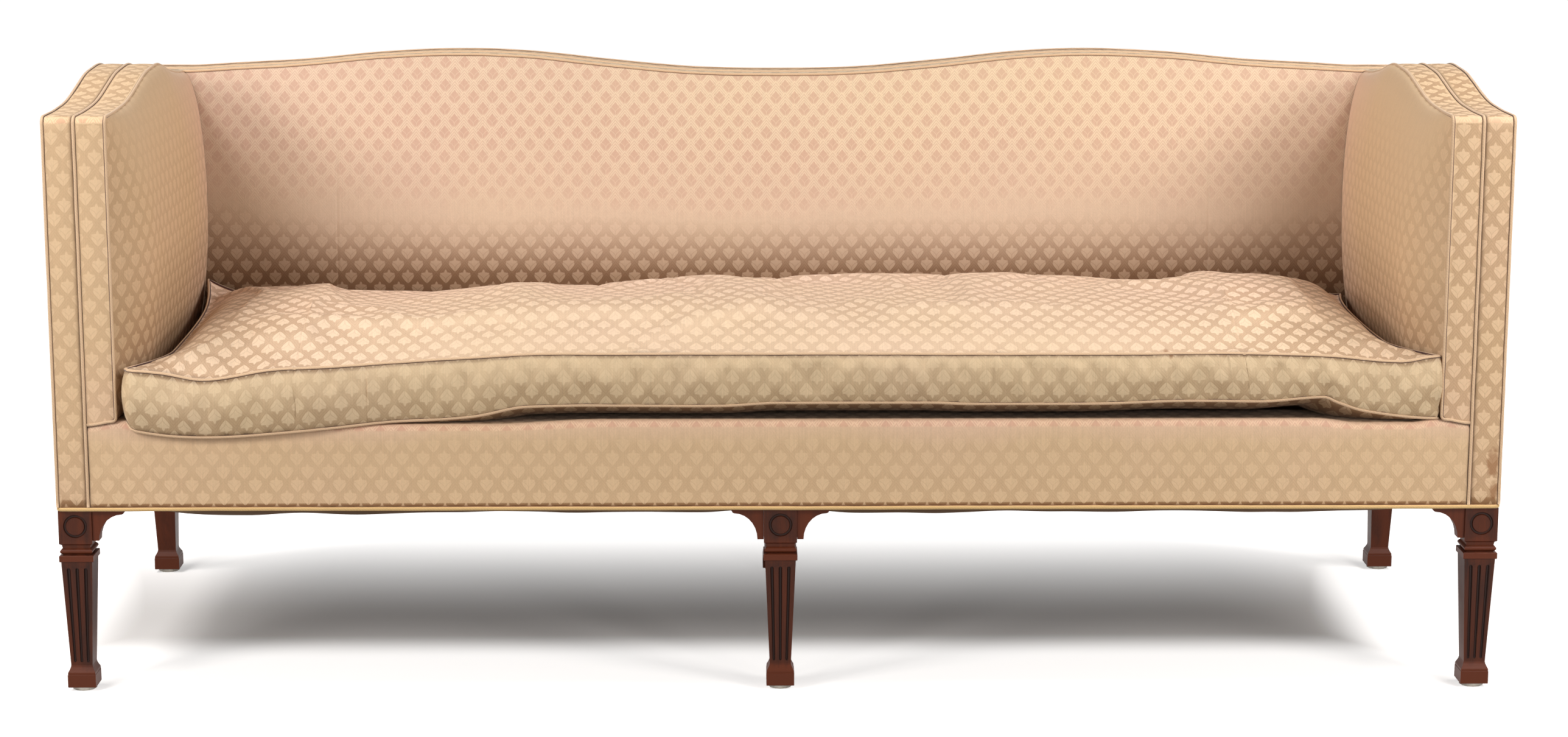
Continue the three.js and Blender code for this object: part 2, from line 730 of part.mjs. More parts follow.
function addArmFrames() {
  const across = [frameInner, frameSide];
  const railDrop = coverThickness + gap;
  const stumpDepth = [frameFront, frameFront + legStock];
  const postFront = backFrameFront;
  const rest = railTop + gap;
  const railUnder = (y) => armTop(y) - railDrop - armRailHeight;

  // The stump's head is sawn to the underside of the arm rail
  const headSides = 3;
  const stumpTop = steps(stumpDepth[1], stumpDepth[0], headSides).map(
    (y) => [y, railUnder(y) - gap]);
  addPair('arm_stump', sideBoard([[stumpDepth[0], rest], [stumpDepth[1], rest], ...stumpTop],
    ...across), 'frameWood');

  const upper = armOutline(railDrop, railUnder(0), postFront - gap).slice(1, -1);
  const lower = [0, ...armPlaces, postFront - gap].map(
    (y) => [Math.max(frameFront, y), railUnder(y)]).reverse();
  addPair('arm_rail', sideBoard([...upper, ...lower], ...across), 'frameWood');

  const tackFoot = padFoot;
  const tack = box([frameInner, frameInner + tackRailThickness],
    [stumpDepth[1] + gap, postFront - gap], [tackFoot, tackFoot + tackRailHeight]);
  addPair('arm_tack_rail', tack, 'frameWood');
}

// How far the arm's rounded front corner lies under its top line
function cornerDrop(y) {
  const back = topCornerRadius - y;
  if (back <= 0) return 0;
  return topCornerRadius - Math.sqrt(topCornerRadius * topCornerRadius - back * back);
}

function addBackFrame() {
  const postFront = backFrameFront;
  const depth = [postFront, frameRear];
  addPair('back_post', box([frameInner, frameSide], depth, [railTop + gap, crestRailFoot - gap]),
    'frameWood');

  const drop = coverThickness + gap;
  const top = [frameSide, ...[...crestPlaces].reverse(), -frameSide].map(
    (x) => [x, crest(x) - drop]);
  add('crest_rail', frontBoard([[-frameSide, crestRailFoot], [frameSide, crestRailFoot], ...top],
    ...depth), 'frameWood');

  const tackTop = padFoot + tackRailHeight;
  const inner = frameInner - gap;
  add('back_tack_rail', box([-inner, inner], [postFront, postFront + tackRailThickness],
    [padFoot, tackTop]), 'frameWood');
  const uprightPlace = bodyHalf / 3;
  const upright = box([uprightPlace - uprightWidth / 2, uprightPlace + uprightWidth / 2],
    [postFront, postFront + railThickness], [tackTop + gap, crestRailFoot - gap]);
  addPair('back_upright', upright, 'frameWood');
}

// Webbing under the rails, tied coil springs on it, and canvas over them
function addSuspension() {
  const webTop = undersideHeight - gap;
  const webZ = [webTop - webThickness, webTop];
  const webInset = railThickness - railThickness * webOverlapShare;
  const webEndX = frameSide - webInset;
  const webEndY = [frameFront + webInset, frameRear - webInset];
  const springColumns = 6;
  const springRows = 3;
  const columnSpacing = (2 * (legAxis - legStock)) / springColumns;
  const rowSpacing = (webEndY[1] - webEndY[0]) / (springRows + 1);
  const columns = centred(springColumns, columnSpacing);
  const rows = Array.from({ length: springRows }, (_, n) => webEndY[0] + (n + 1) * rowSpacing);
  const lengthwise = rows.map((y) => box([-webEndX, webEndX],
    [y - webWidth / 2, y + webWidth / 2], webZ));
  const crosswise = columns.map((x) => box([x - webWidth / 2, x + webWidth / 2], webEndY, webZ));
  add('seat_webbing', join(...lengthwise, ...crosswise), 'jute');

  const tieZ = [twineFoot, twineFoot + twine];
  const ties = [
    ...rows.map((y) => box([-webEndX, webEndX], [y - twine / 2, y + twine / 2], tieZ)),
    ...columns.map((x) => box([x - twine / 2, x + twine / 2], webEndY, tieZ)),
  ];
  const foot = webTop + gap + wireRadius;
  const head = twineFoot + twine / 2;
  const springs = columns.flatMap((x) => rows.map((y) => coilSpring(x, y, foot, head)));
  add('seat_springs', join(...ties, ...springs), 'steel');

  const inner = frameInner - gap;
  add('spring_canvas', box([-inner, inner], [frameFront, backSeam - seamHalf],
    [canvasFoot, canvasFoot + canvasThickness]), 'jute');

  // The back is webbed and covered in canvas in the same way
  const tackHeight = [padFoot + gap, crestRailFoot + tackRailHeight];
  const backWebs = 7;
  const webFront = backFrameFront - gap - webThickness;
  const webDepth = [webFront, webFront + webThickness];
  const middle = (tackHeight[0] + tackHeight[1]) / 2;
  const across = box([-armEdge, armEdge], webDepth, [middle - webWidth / 2, middle + webWidth / 2]);
  const uprights = centred(backWebs, (2 * armEdge) / backWebs).map(
    (x) => box([x - webWidth / 2, x + webWidth / 2], webDepth, tackHeight));
  add('back_webbing', join(across, ...uprights), 'jute');
}

// An hourglass spring whose wire lies flat in its first and last turns
function coilSpring(x, y, foot, head) {
  const turns = 3;
  const turnSteps = 5;
  const wireSides = 3;
  const flatShare = 1 / 9;
  const points = steps(0, 1, turns * turnSteps).map((share) => {
    const angle = 2 * Math.PI * turns * share;
    const radius = springRadius - (springRadius - springWaist) * Math.sin(Math.PI * share);
    const climb = THREE.MathUtils.smoothstep(share, flatShare, 1 - flatShare);
    return new THREE.Vector3(x + radius * Math.cos(angle), y + radius * Math.sin(angle),
      foot + (head - foot) * climb);
  });
  return cord(points, wireRadius, wireSides);
}

// The front cover with its rolled edge, and the stuffed deck under the cushion
function addSeatCovers() {
  const lipRadius = 10;
  const tuckLength = 100;
  const arcSides = 4;
  const half = armSeam - seamHalf;
  const roll = (radius, reverse) => {
    const turn = steps(0, Math.PI / 2, arcSides).map((angle) => [
      lipRadius - radius * Math.cos(angle), deckTop - lipRadius + radius * Math.sin(angle)]);
    return reverse ? turn.reverse() : turn;
  };
  const inside = lipRadius - coverThickness;
  const outline = [
    [0, coverFoot], ...roll(lipRadius, false), [tuckLength, deckTop],
    [tuckLength, deckTop - coverThickness], ...roll(inside, true), [coverThickness, coverFoot],
  ];
  add('front_cover', sideBoard(outline, -half, half), 'cover');

  const under = deckTop - coverThickness - gap;
  const step = tuckLength + gap;
  const deck = [
    [frameFront, deckFoot], ...roll(inside - gap, false), [step, under], [step, deckTop],
    [backSeam - seamHalf, deckTop], [backSeam - seamHalf, deckFoot],
  ];
  add('deck_pad', sideBoard(deck, -half, half), 'jute');
}

// The outline of an arm from the side, set in from its front and top
function armOutline(inset, foot, rear) {
  const arcSides = 3;
  const centreY = topCornerRadius;
  const centreZ = armTop(0) - topCornerRadius;
  const radius = topCornerRadius - inset;
  const corner = steps(0, Math.PI / 2, arcSides).map((angle) => [
    centreY - radius * Math.cos(angle), centreZ + radius * Math.sin(angle)]);
  const places = [...armPlaces.slice(1).filter((y) => y < rear), rear];
  const top = places.map((y) => [y, armTop(y) - inset]);
  return [[inset, foot], ...corner, ...top, [rear, foot]];
}

function addArmCovers() {
  // The outside cover is a shell round the frame's outer side, front and top
  const rear = bodyDepth - coverThickness - gap;
  const bandEdge = armSeam + seamHalf;
  const ring = (x, inset) => armOutline(inset, coverFoot, rear).map(
    ([y, z]) => new THREE.Vector3(x, y, z));
  const shell = loft([ring(bandEdge, 0), ring(bodyHalf - edgeCut, 0), ring(bodyHalf, edgeCut)],
    sideView);
  const overrun = legStock;
  const hollow = armOutline(coverThickness, coverFoot - overrun, rear + overrun);
  const pocket = sideBoard(hollow, bandEdge - overrun, bodyHalf - coverThickness);
  addPair('outside_arm', cut(shell, pocket), 'cover');

  addPair('inside_arm', armPad(), 'insideCover');
}

// The stuffed inner half of an arm, crowned towards the seat
function armPad() {
  const rows = 10;
  const outer = armSeam - seamHalf;
  const heights = easedSteps(0, 1, rows);
  const topLine = armOutline(0, padFoot, backEdge).slice(1, -1);
  const columns = topLine.length - 1;
  const point = (i, j, x, inset, swell) => {
    const [place, top] = topLine[i];
    const high = padFoot + heights[j] * (top - inset * heights[j] - padFoot);
    const rear = backFace(armEdge, high) - padGap;
    const y = inset + place * (rear - inset) / backEdge;
    const out = swell ? armSwell(y - inset, heights[j]) : 0;
    return new THREE.Vector3(x - out, y, high);
  };
  const face = (i, j) => point(i, j, armEdge, edgeCut, true);
  const rims = [
    (i, j) => point(i, j, armEdge + edgeCut, 0, false),
    (i, j) => point(i, j, outer, 0, false),
  ];
  const grooveSides = 4;
  const groove = cord([new THREE.Vector3(outer + seamHalf, 0, seatHeight),
    new THREE.Vector3(armEdge - edgeCut, 0, seatHeight)], edgeCut, grooveSides);
  return cut(stuffedPad(columns, rows, face, rims, sideView), groove);
}

function addBackCovers() {
  const half = armSeam - seamHalf;

  // The back pad, crowned forward, with its top band
  const places = [-half, ...crestPlaces, half];
  const columns = places.length - 1;
  const rows = 10;
  const heights = easedSteps(0, 1, rows);
  const point = (i, j, y, inset, swell) => {
    const x = places[i];
    const z = padFoot + heights[j] * (crest(x) - inset - padFoot);
    return new THREE.Vector3(x, swell ? backFace(x, z) : y, z);
  };
  const rims = [
    (i, j) => {
      const rim = point(i, j, 0, 0, true);
      return j === rows ? rim.setY(backEdge + edgeCut) : rim.setY(Math.max(rim.y, backEdge));
    },
    (i, j) => point(i, j, backSeam - seamHalf, 0, false),
  ];
  const face = (i, j) => (j < rows ? point(i, j, 0, 0, true) : point(i, j, backEdge, edgeCut, false));
  add('inside_back', stuffedPad(columns, rows, face, rims, frontView), 'insideCover');

  // The outside back is a shell behind the frame, with the rear band over the crest rail
  const outline = (inset, foot, wide) => {
    const top = [wide, ...[...crestPlaces].reverse(), -wide].map((x) => [x, crest(x) - inset]);
    return [[-wide, foot], [wide, foot], ...top];
  };
  const ring = (y, inset) => outline(inset, coverFoot, frameSide - gap).map(
    ([x, z]) => new THREE.Vector3(x, y, z));
  const shell = loft([ring(backSeam + seamHalf, 0), ring(bodyDepth - edgeCut, 0),
    ring(bodyDepth, edgeCut)], frontView);
  const overrun = legStock;
  const inner = bodyDepth - coverThickness;
  const hollow = frontBoard(outline(coverThickness, coverFoot - overrun, frameSide + overrun),
    backSeam - overrun, inner);
  const bandEnd = armSeam + seamHalf - gap;
  const beside = box([bandEnd, frameSide + overrun], [backSeam - overrun, inner],
    [coverFoot - overrun, crestHumpHeight + overrun]);
  add('outside_back', cut(shell, hollow, beside, mirrored(beside)), 'cover');
}

// The dust cloth nailed under the rails, sagging on both sides of the brace
function addDustCover() {
  const nailed = undersideHeight - gap - webThickness - gap - dustThickness;
  const nailInset = railThickness * nailInsetShare;
  const halfWidth = frameSide - nailInset;
  const front = frontLegAxis - legStock / 2 + bracketSetback + bracketThickness + gap;
  const back = frameRear - nailInset;
  const columns = 16;
  const rows = 6;
  const place = (i, j) => {
    const x = halfWidth * (-1 + (2 * i) / columns);
    const t = j / rows;
    const sag = dustSag * Math.abs(Math.sin((2 * Math.PI * i) / columns)) * Math.sin(Math.PI * t);
    return new THREE.Vector3(x, front + t * (back - front), nailed - sag);
  };
  const cloth = clothSheet(columns, rows, place, new THREE.Vector3(0, 0, dustThickness));
  const clear = 2 * gap;
  const reach = legStock / 2 + clear;
  const post = (x, y) => box([x - reach, x + reach], [y - reach, y + reach],
    [nailed - dustSag, undersideHeight + dustThickness]);
  const legs = [-legAxis, 0, legAxis].flatMap((x) => [frontLegAxis, rearLegAxis].map(
    (y) => post(x, y)));
  add('dust_cover', cut(cloth, ...legs), 'dustCloth');
}

// A cord's turn between two straight runs, with the corner rounded off
function turnPoints(before, corner, after, radius, count = 3) {
  const towards = (end) => corner.clone().add(end.clone().sub(corner).setLength(radius));
  const [from, to] = [towards(before), towards(after)];
  const curve = new THREE.QuadraticBezierCurve3(from, corner, to);
  return curve.getPoints(count);
}

// The cord up the front and over the top of an arm, at one place across it
function armCordPoints(x, foot, rear) {
  return armOutline(0, foot, rear).slice(0, -1).map(([y, z]) => new THREE.Vector3(x, y, z));
}

// The cord along the crest at one depth, from one side to the other
function crestCordPoints(y) {
  const between = crestPlaces.slice(1, -1).reverse();
  return between.map((x) => new THREE.Vector3(x, y, crest(x)));
}

function flipX(points) {
  return points.map((point) => point.clone().setX(-point.x)).reverse();
}

function addBodyCords() {
  const cordFoot = coverFoot - gap / 2;

  // Inner cord: out from the middle seam, up round the arm pads and along the front of the crest
  const start = new THREE.Vector3(armSeam - weltRadius - gap, 0, seatHeight);
  const low = new THREE.Vector3(armEdge, 0, seatHeight);
  const up = new THREE.Vector3(armEdge, 0, armFrontHeight);
  const armRun = armCordPoints(armEdge, seatHeight, backEdge).slice(1, -1);
  const corner = new THREE.Vector3(armEdge, backEdge, cornerHeight);
  const inward = new THREE.Vector3(0, backEdge, cornerHeight);
  const rightInner = [start, ...turnPoints(start, low, up, cornerReach), ...armRun,
    ...turnPoints(armRun[armRun.length - 1], corner, inward, cornerReach)];
  const innerCrest = crestCordPoints(backEdge);
  add('inner_welt', cord([...rightInner, ...innerCrest, ...flipX(rightInner)], weltRadius),
    'cordCover');

  // Middle cord: over the arms between their two bands, and on along the crest
  const middleRun = armCordPoints(armSeam, cordFoot, backSeam).slice(0, -1);
  const middleCorner = new THREE.Vector3(armSeam, backSeam, cornerHeight);
  const middleIn = new THREE.Vector3(0, backSeam, cornerHeight);
  const rightMiddle = [...middleRun,
    ...turnPoints(middleRun[middleRun.length - 1], middleCorner, middleIn, cornerReach)];
  const middleCrest = crestCordPoints(backSeam);
  add('middle_welt', cord([...rightMiddle, ...middleCrest, ...flipX(rightMiddle)], weltRadius),
    'cordCover');

  // Outer cords: one along each outside arm, and one round the outside back
  const outerEnd = bodyDepth - weltRadius - gap;
  addPair('arm_outer_welt', cord(armCordPoints(bodyHalf, cordFoot, outerEnd), weltRadius),
    'cordCover');
  const heel = new THREE.Vector3(bodyHalf, bodyDepth, cordFoot);
  const heelTop = new THREE.Vector3(bodyHalf, bodyDepth, cornerHeight);
  const heelIn = new THREE.Vector3(0, bodyDepth, cornerHeight);
  const rightRear = [heel, ...turnPoints(heel, heelTop, heelIn, cornerReach)];
  const rearCrest = crestCordPoints(bodyDepth);
  add('back_outer_welt', cord([...rightRear, ...rearCrest, ...flipX(rightRear)], weltRadius),
    'cordCover');

  // Base cord: once round under the covers, its ends meeting behind
  const level = shoulderHeight + gap + baseWeltRadius;
  const at = (x, y) => new THREE.Vector3(x, y, level);
  const [rearLeft, frontLeft] = [at(-bodyHalf, bodyDepth), at(-bodyHalf, 0)];
  const [frontRight, rearRight] = [at(bodyHalf, 0), at(bodyHalf, bodyDepth)];
  const [open, shut] = [at(-gap / 2, bodyDepth), at(gap / 2, bodyDepth)];
  add('base_welt', cord([open, ...turnPoints(open, rearLeft, frontLeft, baseCornerReach),
    ...turnPoints(rearLeft, frontLeft, frontRight, baseCornerReach),
    ...turnPoints(frontLeft, frontRight, rearRight, baseCornerReach),
    ...turnPoints(frontRight, rearRight, shut, baseCornerReach), shut], baseWeltRadius), 'baseCord');
}

// The seam line of the cushion in plan, once round, with drawn-in sides
function cushionOutline() {
  const widest = armEdge - weltRadius - cushionClearance - cushionBulge;
  const front = cushionSetback;
  const rear = backEdge - backCrown - cushionClearance - cushionBulge;
  const side = (y) => widest - armSwell(y, 1 / 2);
  const drawnIn = cushionBulge / 2;
  const frontY = (x) => front + drawnIn * Math.cos((Math.PI / 2) * (x / widest));
  const frontSteps = 14;
  const sideSteps = 9;
  const rearSteps = 12;
  const cornerCut = cushionCorner / 4;
  const reachFront = widest - cushionCorner;
  const reachRear = side(rear) - cushionCorner;
  const points = steps(-reachFront, reachFront, frontSteps).map((x) => [x, frontY(x)]);
  points.push([side(front + cornerCut) - cornerCut, front + cornerCut]);
  for (const y of easedSteps(front + cushionCorner, rear - cushionCorner, sideSteps)) {
    points.push([side(y), y]);
  }
  points.push([side(rear) - cornerCut, rear - cornerCut]);
  for (const x of steps(reachRear, -reachRear, rearSteps)) points.push([x, rear]);
  points.push([cornerCut - side(rear), rear - cornerCut]);
  for (const y of easedSteps(rear - cushionCorner, front + cushionCorner, sideSteps)) {
    points.push([-side(y), y]);
  }
  points.push([cornerCut - side(front + cornerCut), front + cornerCut]);
  return { points, middle: (front + rear) / 2, halfWidth: widest, halfDepth: (rear - front) / 2 };
}

// The loose seat cushion, crowned above and below, with its boxing swelling between the seams
function addCushion() {
  const { points, middle, halfWidth, halfDepth } = cushionOutline();
  const ring = (inset, z) => points.map(([x, y], k) => {
    const [nextX, nextY] = points[(k + 1) % points.length];
    const [lastX, lastY] = points[(k + points.length - 1) % points.length];
    const across = new THREE.Vector2(lastY - nextY, nextX - lastX).normalize();
    return new THREE.Vector3(x + inset * across.x, y + inset * across.y, z);
  });
  const crownRing = (share, z) => points.map(([x, y]) => new THREE.Vector3(
    x * (1 - share * halfDepth / halfWidth), middle + (y - middle) * (1 - share), z));
  const crown = cushionTop - cushionSeamHigh;
  const sink = cushionSeamLow - padFoot;
  const crownShares = [[0.12, 0.5], [0.3, 0.85], [0.6, 1]];
  const sinkShares = [[0.3, 1], [0.12, 0.7]];
  const boxingMiddle = (cushionSeamLow + cushionSeamHigh) / 2;
  const rings = [
    ...sinkShares.map(([inward, share]) => crownRing(inward, cushionSeamLow - share * sink)),
    ring(edgeCut, cushionSeamLow), ring(0, cushionSeamLow + edgeCut),
    ring(-cushionBulge, boxingMiddle), ring(0, cushionSeamHigh - edgeCut),
    ring(edgeCut, cushionSeamHigh),
    ...crownShares.map(([inward, share]) => crownRing(inward, cushionSeamHigh + share * crown)),
  ];
  add('seat_cushion', loft(rings, planView), 'cushionCover');

  for (const [name, z] of [['cushion_lower_welt', cushionSeamLow],
    ['cushion_upper_welt', cushionSeamHigh]]) {
    const seam = ring(0, z);
    const rearMiddle = new THREE.Vector3(0, middle + halfDepth, z);
    const start = seam.findIndex((point) => point.y > middle && Math.abs(point.x) < weltRadius);
    const round = [...seam.slice(start + 1), ...seam.slice(0, start)];
    const ends = [1, -1].map((way) => rearMiddle.clone().setX((-way * gap) / 2));
    add(name, cord([ends[0], ...round, ends[1]], weltRadius), 'cordCover');
  }
}

export default sofa;
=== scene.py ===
import json
import math

import bpy
import numpy as np
from mathutils import Matrix, Vector, noise


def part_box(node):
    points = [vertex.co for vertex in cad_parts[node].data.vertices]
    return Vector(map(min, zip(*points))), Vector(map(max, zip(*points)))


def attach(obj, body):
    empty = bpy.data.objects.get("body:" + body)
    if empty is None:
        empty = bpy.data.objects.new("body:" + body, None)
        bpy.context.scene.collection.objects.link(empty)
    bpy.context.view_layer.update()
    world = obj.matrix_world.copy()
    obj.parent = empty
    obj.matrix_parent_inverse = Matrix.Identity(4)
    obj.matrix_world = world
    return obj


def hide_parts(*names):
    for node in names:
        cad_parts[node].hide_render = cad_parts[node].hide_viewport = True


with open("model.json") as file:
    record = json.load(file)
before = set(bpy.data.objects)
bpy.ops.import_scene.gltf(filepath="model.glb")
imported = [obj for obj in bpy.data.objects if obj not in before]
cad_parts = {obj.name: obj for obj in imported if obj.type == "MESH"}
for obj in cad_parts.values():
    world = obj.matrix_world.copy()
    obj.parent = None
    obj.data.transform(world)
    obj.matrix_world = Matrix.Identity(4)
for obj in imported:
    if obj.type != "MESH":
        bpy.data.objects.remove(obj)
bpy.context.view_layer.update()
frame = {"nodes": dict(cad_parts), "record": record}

# Sizes of the upholstery, in metres. Left and right are as seen from the front.
MM = 0.001
GAP = 0.3 * MM
CORD = 2.35 * MM
BASE_CORD = 3 * MM
SEAM = CORD + GAP
ARM_BOXING = 42 * MM
BACK_BOXING = 44 * MM
ARM_CORNER = 9 * MM
ARM_SHOULDER = 120 * MM
BACK_CROWN_HEIGHT = 530 * MM
BACK_TUCK = 25 * MM
LINING = 1.6 * MM
FOOT_RISE = 5.5 * MM
FOOT_SPREAD = 38 * MM
FOOT_SLOPE = 30 * MM
FOOT_DEEP = 35 * MM
SEAM_HALF_WIDE = 1.3 * MM

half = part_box("outside_arm_right")[1].x
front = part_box("front_cover")[0].y
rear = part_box("outside_back")[1].y
arm_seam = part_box("inside_arm_right")[1].x + SEAM
arm_edge = arm_seam - ARM_BOXING
arm_crown = arm_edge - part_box("inside_arm_right")[0].x
back_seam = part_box("inside_back")[1].y + SEAM
back_edge = back_seam - BACK_BOXING
back_crown = back_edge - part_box("inside_back")[0].y
cover_reach = arm_seam - SEAM
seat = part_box("front_cover")[1].z
cover_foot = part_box("outside_back")[0].z
arm_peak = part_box("inside_arm_right")[1].z
crest_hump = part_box("inside_back")[1].z
ARM_FRONT = 805 * MM
CORNER = 811 * MM
CREST_VALLEY = 806 * MM

ARM_TOP_SHARES = [
    (0, 0), (0.09, 0), (0.16, 0.03), (0.25, 0.12), (0.33, 0.33), (0.41, 0.61), (0.49, 0.86),
    (0.59, 0.975), (0.635, 1), (0.69, 0.92), (0.82, 0.47),
]
CREST_SHARES = [
    (0, 0), (0.13, 0.09), (0.26, 0.46), (0.38, 0.87), (0.487, 1), (0.612, 0.84), (0.732, 0.48),
    (0.843, 0.28),
]


def smooth_line(table):
    """A function that runs smoothly through (place, value) pairs and never overshoots them."""
    places, values = np.array(table, float).T
    grades = np.zeros(len(places))
    before, after = np.diff(values)[:-1], np.diff(values)[1:]
    middle = (values[2:] - values[:-2]) / (places[2:] - places[:-2])
    grades[1:-1] = np.where(before * after > 0, middle, 0)

    def line(place):
        place = np.clip(np.asarray(place, float), places[0], places[-1])
        k = np.clip(np.searchsorted(places, place, side="right"), 1, len(places) - 1)
        run = places[k] - places[k - 1]
        t = (place - places[k - 1]) / run
        rise = t * t * (3 - 2 * t)
        bend = run * t * (1 - t) * ((1 - t) * grades[k - 1] - t * grades[k])
        return values[k - 1] + rise * (values[k] - values[k - 1]) + bend

    return line


arm_line = smooth_line(
    [(p * (back_edge - front), ARM_FRONT + r * (arm_peak - ARM_FRONT)) for p, r in ARM_TOP_SHARES]
    + [(back_edge - front, CORNER), (rear - front, CORNER)]
)
crest_line = smooth_line(
    [(p * half, CREST_VALLEY + r * (crest_hump - CREST_VALLEY)) for p, r in CREST_SHARES]
    + [(arm_edge, CORNER), (half, CORNER)]
)


def arm_top(y):
    """Height of an arm's top at a depth, with its rounded front corner."""
    back = np.maximum(0, ARM_CORNER - (y - front))
    return arm_line(y - front) - ARM_CORNER + np.sqrt(np.maximum(0, ARM_CORNER**2 - back**2))


def crest(x):
    """Height of the back's serpentine crest, from the sofa's middle outwards."""
    return crest_line(np.abs(x))


def back_face(z, top):
    """Depth of the inside back's face at a height, under a crest of that height."""
    fall = ramp(z, BACK_CROWN_HEIGHT, seat)
    rise = ramp(z, BACK_CROWN_HEIGHT, top)
    return back_edge - back_crown + BACK_TUCK * fall**2 + back_crown * rise**2


def ramp(value, start, end):
    """How far a value is on its way from start to end, from 0 to 1."""
    return np.clip((value - start) / (end - start), 0, 1)


def foot_rise(x, y):
    """How far the inner piping's foot, and the covers beside it, rise at the front corners."""
    start = arm_edge - FOOT_SPREAD
    table = [(start, 0), (start + FOOT_SLOPE, 1), (arm_edge, 1), (cover_reach, 0)]
    deep = ramp(y, front + FOOT_DEEP + 2 * FOOT_SLOPE, front + FOOT_DEEP)
    return FOOT_RISE * smooth_line(table)(np.abs(x)) * deep


def with_seams(places, seams):
    """Places across a cover, with close ones on both sides of each sewn seam."""
    beside = MM * np.array((-2.6, -1.0, 0, 1.0, 2.6))
    return np.unique(np.concatenate([places] + [seam + beside for seam in seams]))


def seam_depth(x, seams):
    """How far a sewn seam draws the cloth in, from 0 to 1."""
    return sum(np.exp(-(((x - seam) / SEAM_HALF_WIDE) ** 2)) for seam in seams)


def eased(count):
    """Shares from 0 to 1 that lie closer together near both ends."""
    return (1 - np.cos(np.linspace(0, math.pi, count))) / 2


def stack(*parts):
    """Coordinates of one grid, from arrays or numbers that share its shape."""
    return np.stack(np.broadcast_arrays(*[np.asarray(p, float) for p in parts]), -1)


def unit(vectors):
    """Vectors of length one that point the same ways."""
    return vectors / np.maximum(np.linalg.norm(vectors, axis=-1, keepdims=True), 1e-9)


def unevenness(points, grain, seed):
    """Smooth noise from -1 to 1 at each point, with bumps about as long as grain."""
    flat = np.asarray(points, float).reshape(-1, 3) / grain + seed * 17.3
    values = [noise.noise(Vector(p)) for p in flat]
    return np.array(values).reshape(np.shape(points)[:-1])


def lumps(points, table, shift=0):
    """Unevenness of several kinds, in millimetres: each is so high and so long, with its seed."""
    return sum(high * unevenness(points, long, seed + shift) for high, long, seed in table)


def border(grid):
    """The outer points of a grid, once round."""
    return np.concatenate([grid[:, 0], grid[-1, 1:], grid[-2::-1, -1], grid[0, -2:0:-1]])


def run_length(points):
    """Distance along a line of points, from its first."""
    return np.concatenate([[0], np.cumsum(np.linalg.norm(np.diff(points, axis=0), axis=-1))])


class Cover:
    """A mesh under construction: its points, its faces, and the weave's place at each corner."""

    def __init__(self):
        self.points, self.faces, self.weave = [], [], []

    def place(self, points):
        """Adds points, and gives back their numbers in the same grid."""
        first = len(self.points)
        flat = np.asarray(points, float).reshape(-1, 3)
        self.points.extend(flat.tolist())
        return np.arange(first, first + len(flat)).reshape(np.shape(points)[:-1])

    def quads(self, index, weave, closed=False):
        """Faces over a grid of point numbers; closed joins its last column to its first."""
        columns = index.shape[0] if closed else index.shape[0] - 1
        for i in range(columns):
            k = (i + 1) % index.shape[0]
            for j in range(index.shape[1] - 1):
                corners = ((i, j), (k, j), (k, j + 1), (i, j + 1))
                self.faces.append([int(index[c]) for c in corners])
                self.weave.extend(tuple(weave[c]) for c in corners)

    def join(self, index, rows, weaves, closed=False):
        """Faces from a row of point numbers on through more rows of points."""
        rings = [index] + [self.place(row) for row in rows]
        self.quads(np.stack(rings, 1), np.stack(weaves, 1), closed)
        return rings[-1]

    def cap(self, loop, weave):
        """One face that closes a loop of point numbers."""
        self.faces.append([int(k) for k in loop])
        self.weave.extend(tuple(w) for w in weave)

    def build(self, name, outward_from=None):
        """The object, with its faces turned outwards, or away from a point."""
        mesh = bpy.data.meshes.new(name)
        mesh.from_pydata(self.points, [], self.faces)
        layer = mesh.uv_layers.new(name="weave")
        layer.data.foreach_set("uv", np.array(self.weave, "f").ravel())
        mesh.update()
        centres = np.array([f.center for f in mesh.polygons])
        normals = np.array([f.normal for f in mesh.polygons])
        areas = np.array([f.area for f in mesh.polygons])
        origin = np.array(outward_from if outward_from is not None else np.mean(self.points, 0))
        if ((centres - origin) * normals).sum(1) @ areas < 0:
            mesh.flip_normals()
        for face in mesh.polygons:
            face.use_smooth = True
        made = bpy.data.objects.new(name, mesh)
        bpy.context.scene.collection.objects.link(made)
        return made


def finish_piece(piece, material, body, node):
    """Gives a piece its material and its body, and hides the solid that it stands for."""
    piece.data.materials.append(material)
    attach(piece, body)
    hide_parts(node)


def paint(piece, **layers):
    """Numbers from -1 to 1 at every point of a piece, for its material to read."""
    count = len(piece.data.vertices)
    for name, values in layers.items():
        layer = piece.data.attributes.new(name, "FLOAT", "POINT")
        values = np.broadcast_to(np.asarray(values, "f"), count)
        layer.data.foreach_set("value", np.clip(values, -1, 1))


def places(piece):
    """A piece's points, one row each."""
    flat = np.empty(len(piece.data.vertices) * 3, "f")
    piece.data.vertices.foreach_get("co", flat)
    return flat.reshape(-1, 3).astype(float)


def thicken(piece, thickness):
    """Gives a sheet its thickness, towards the side that its faces turn away from."""
    step = piece.modifiers.new("thickness", "SOLIDIFY")
    step.thickness = thickness
    step.offset = -1
    apply_steps(piece)


def apply_steps(piece):
    """Turns a piece's modifiers into its mesh."""
    graph = bpy.context.evaluated_depsgraph_get()
    made = bpy.data.meshes.new_from_object(piece.evaluated_get(graph), depsgraph=graph)
    piece.modifiers.clear()
    piece.data = made


# Finishes

def linear(code):
    """A colour for a node, from its sRGB hex value."""
    parts = [int(code[k : k + 2], 16) / 255 for k in (1, 3, 5)]
    return (*[c / 12.92 if c <= 0.04045 else ((c + 0.055) / 1.055) ** 2.4 for c in parts], 1)


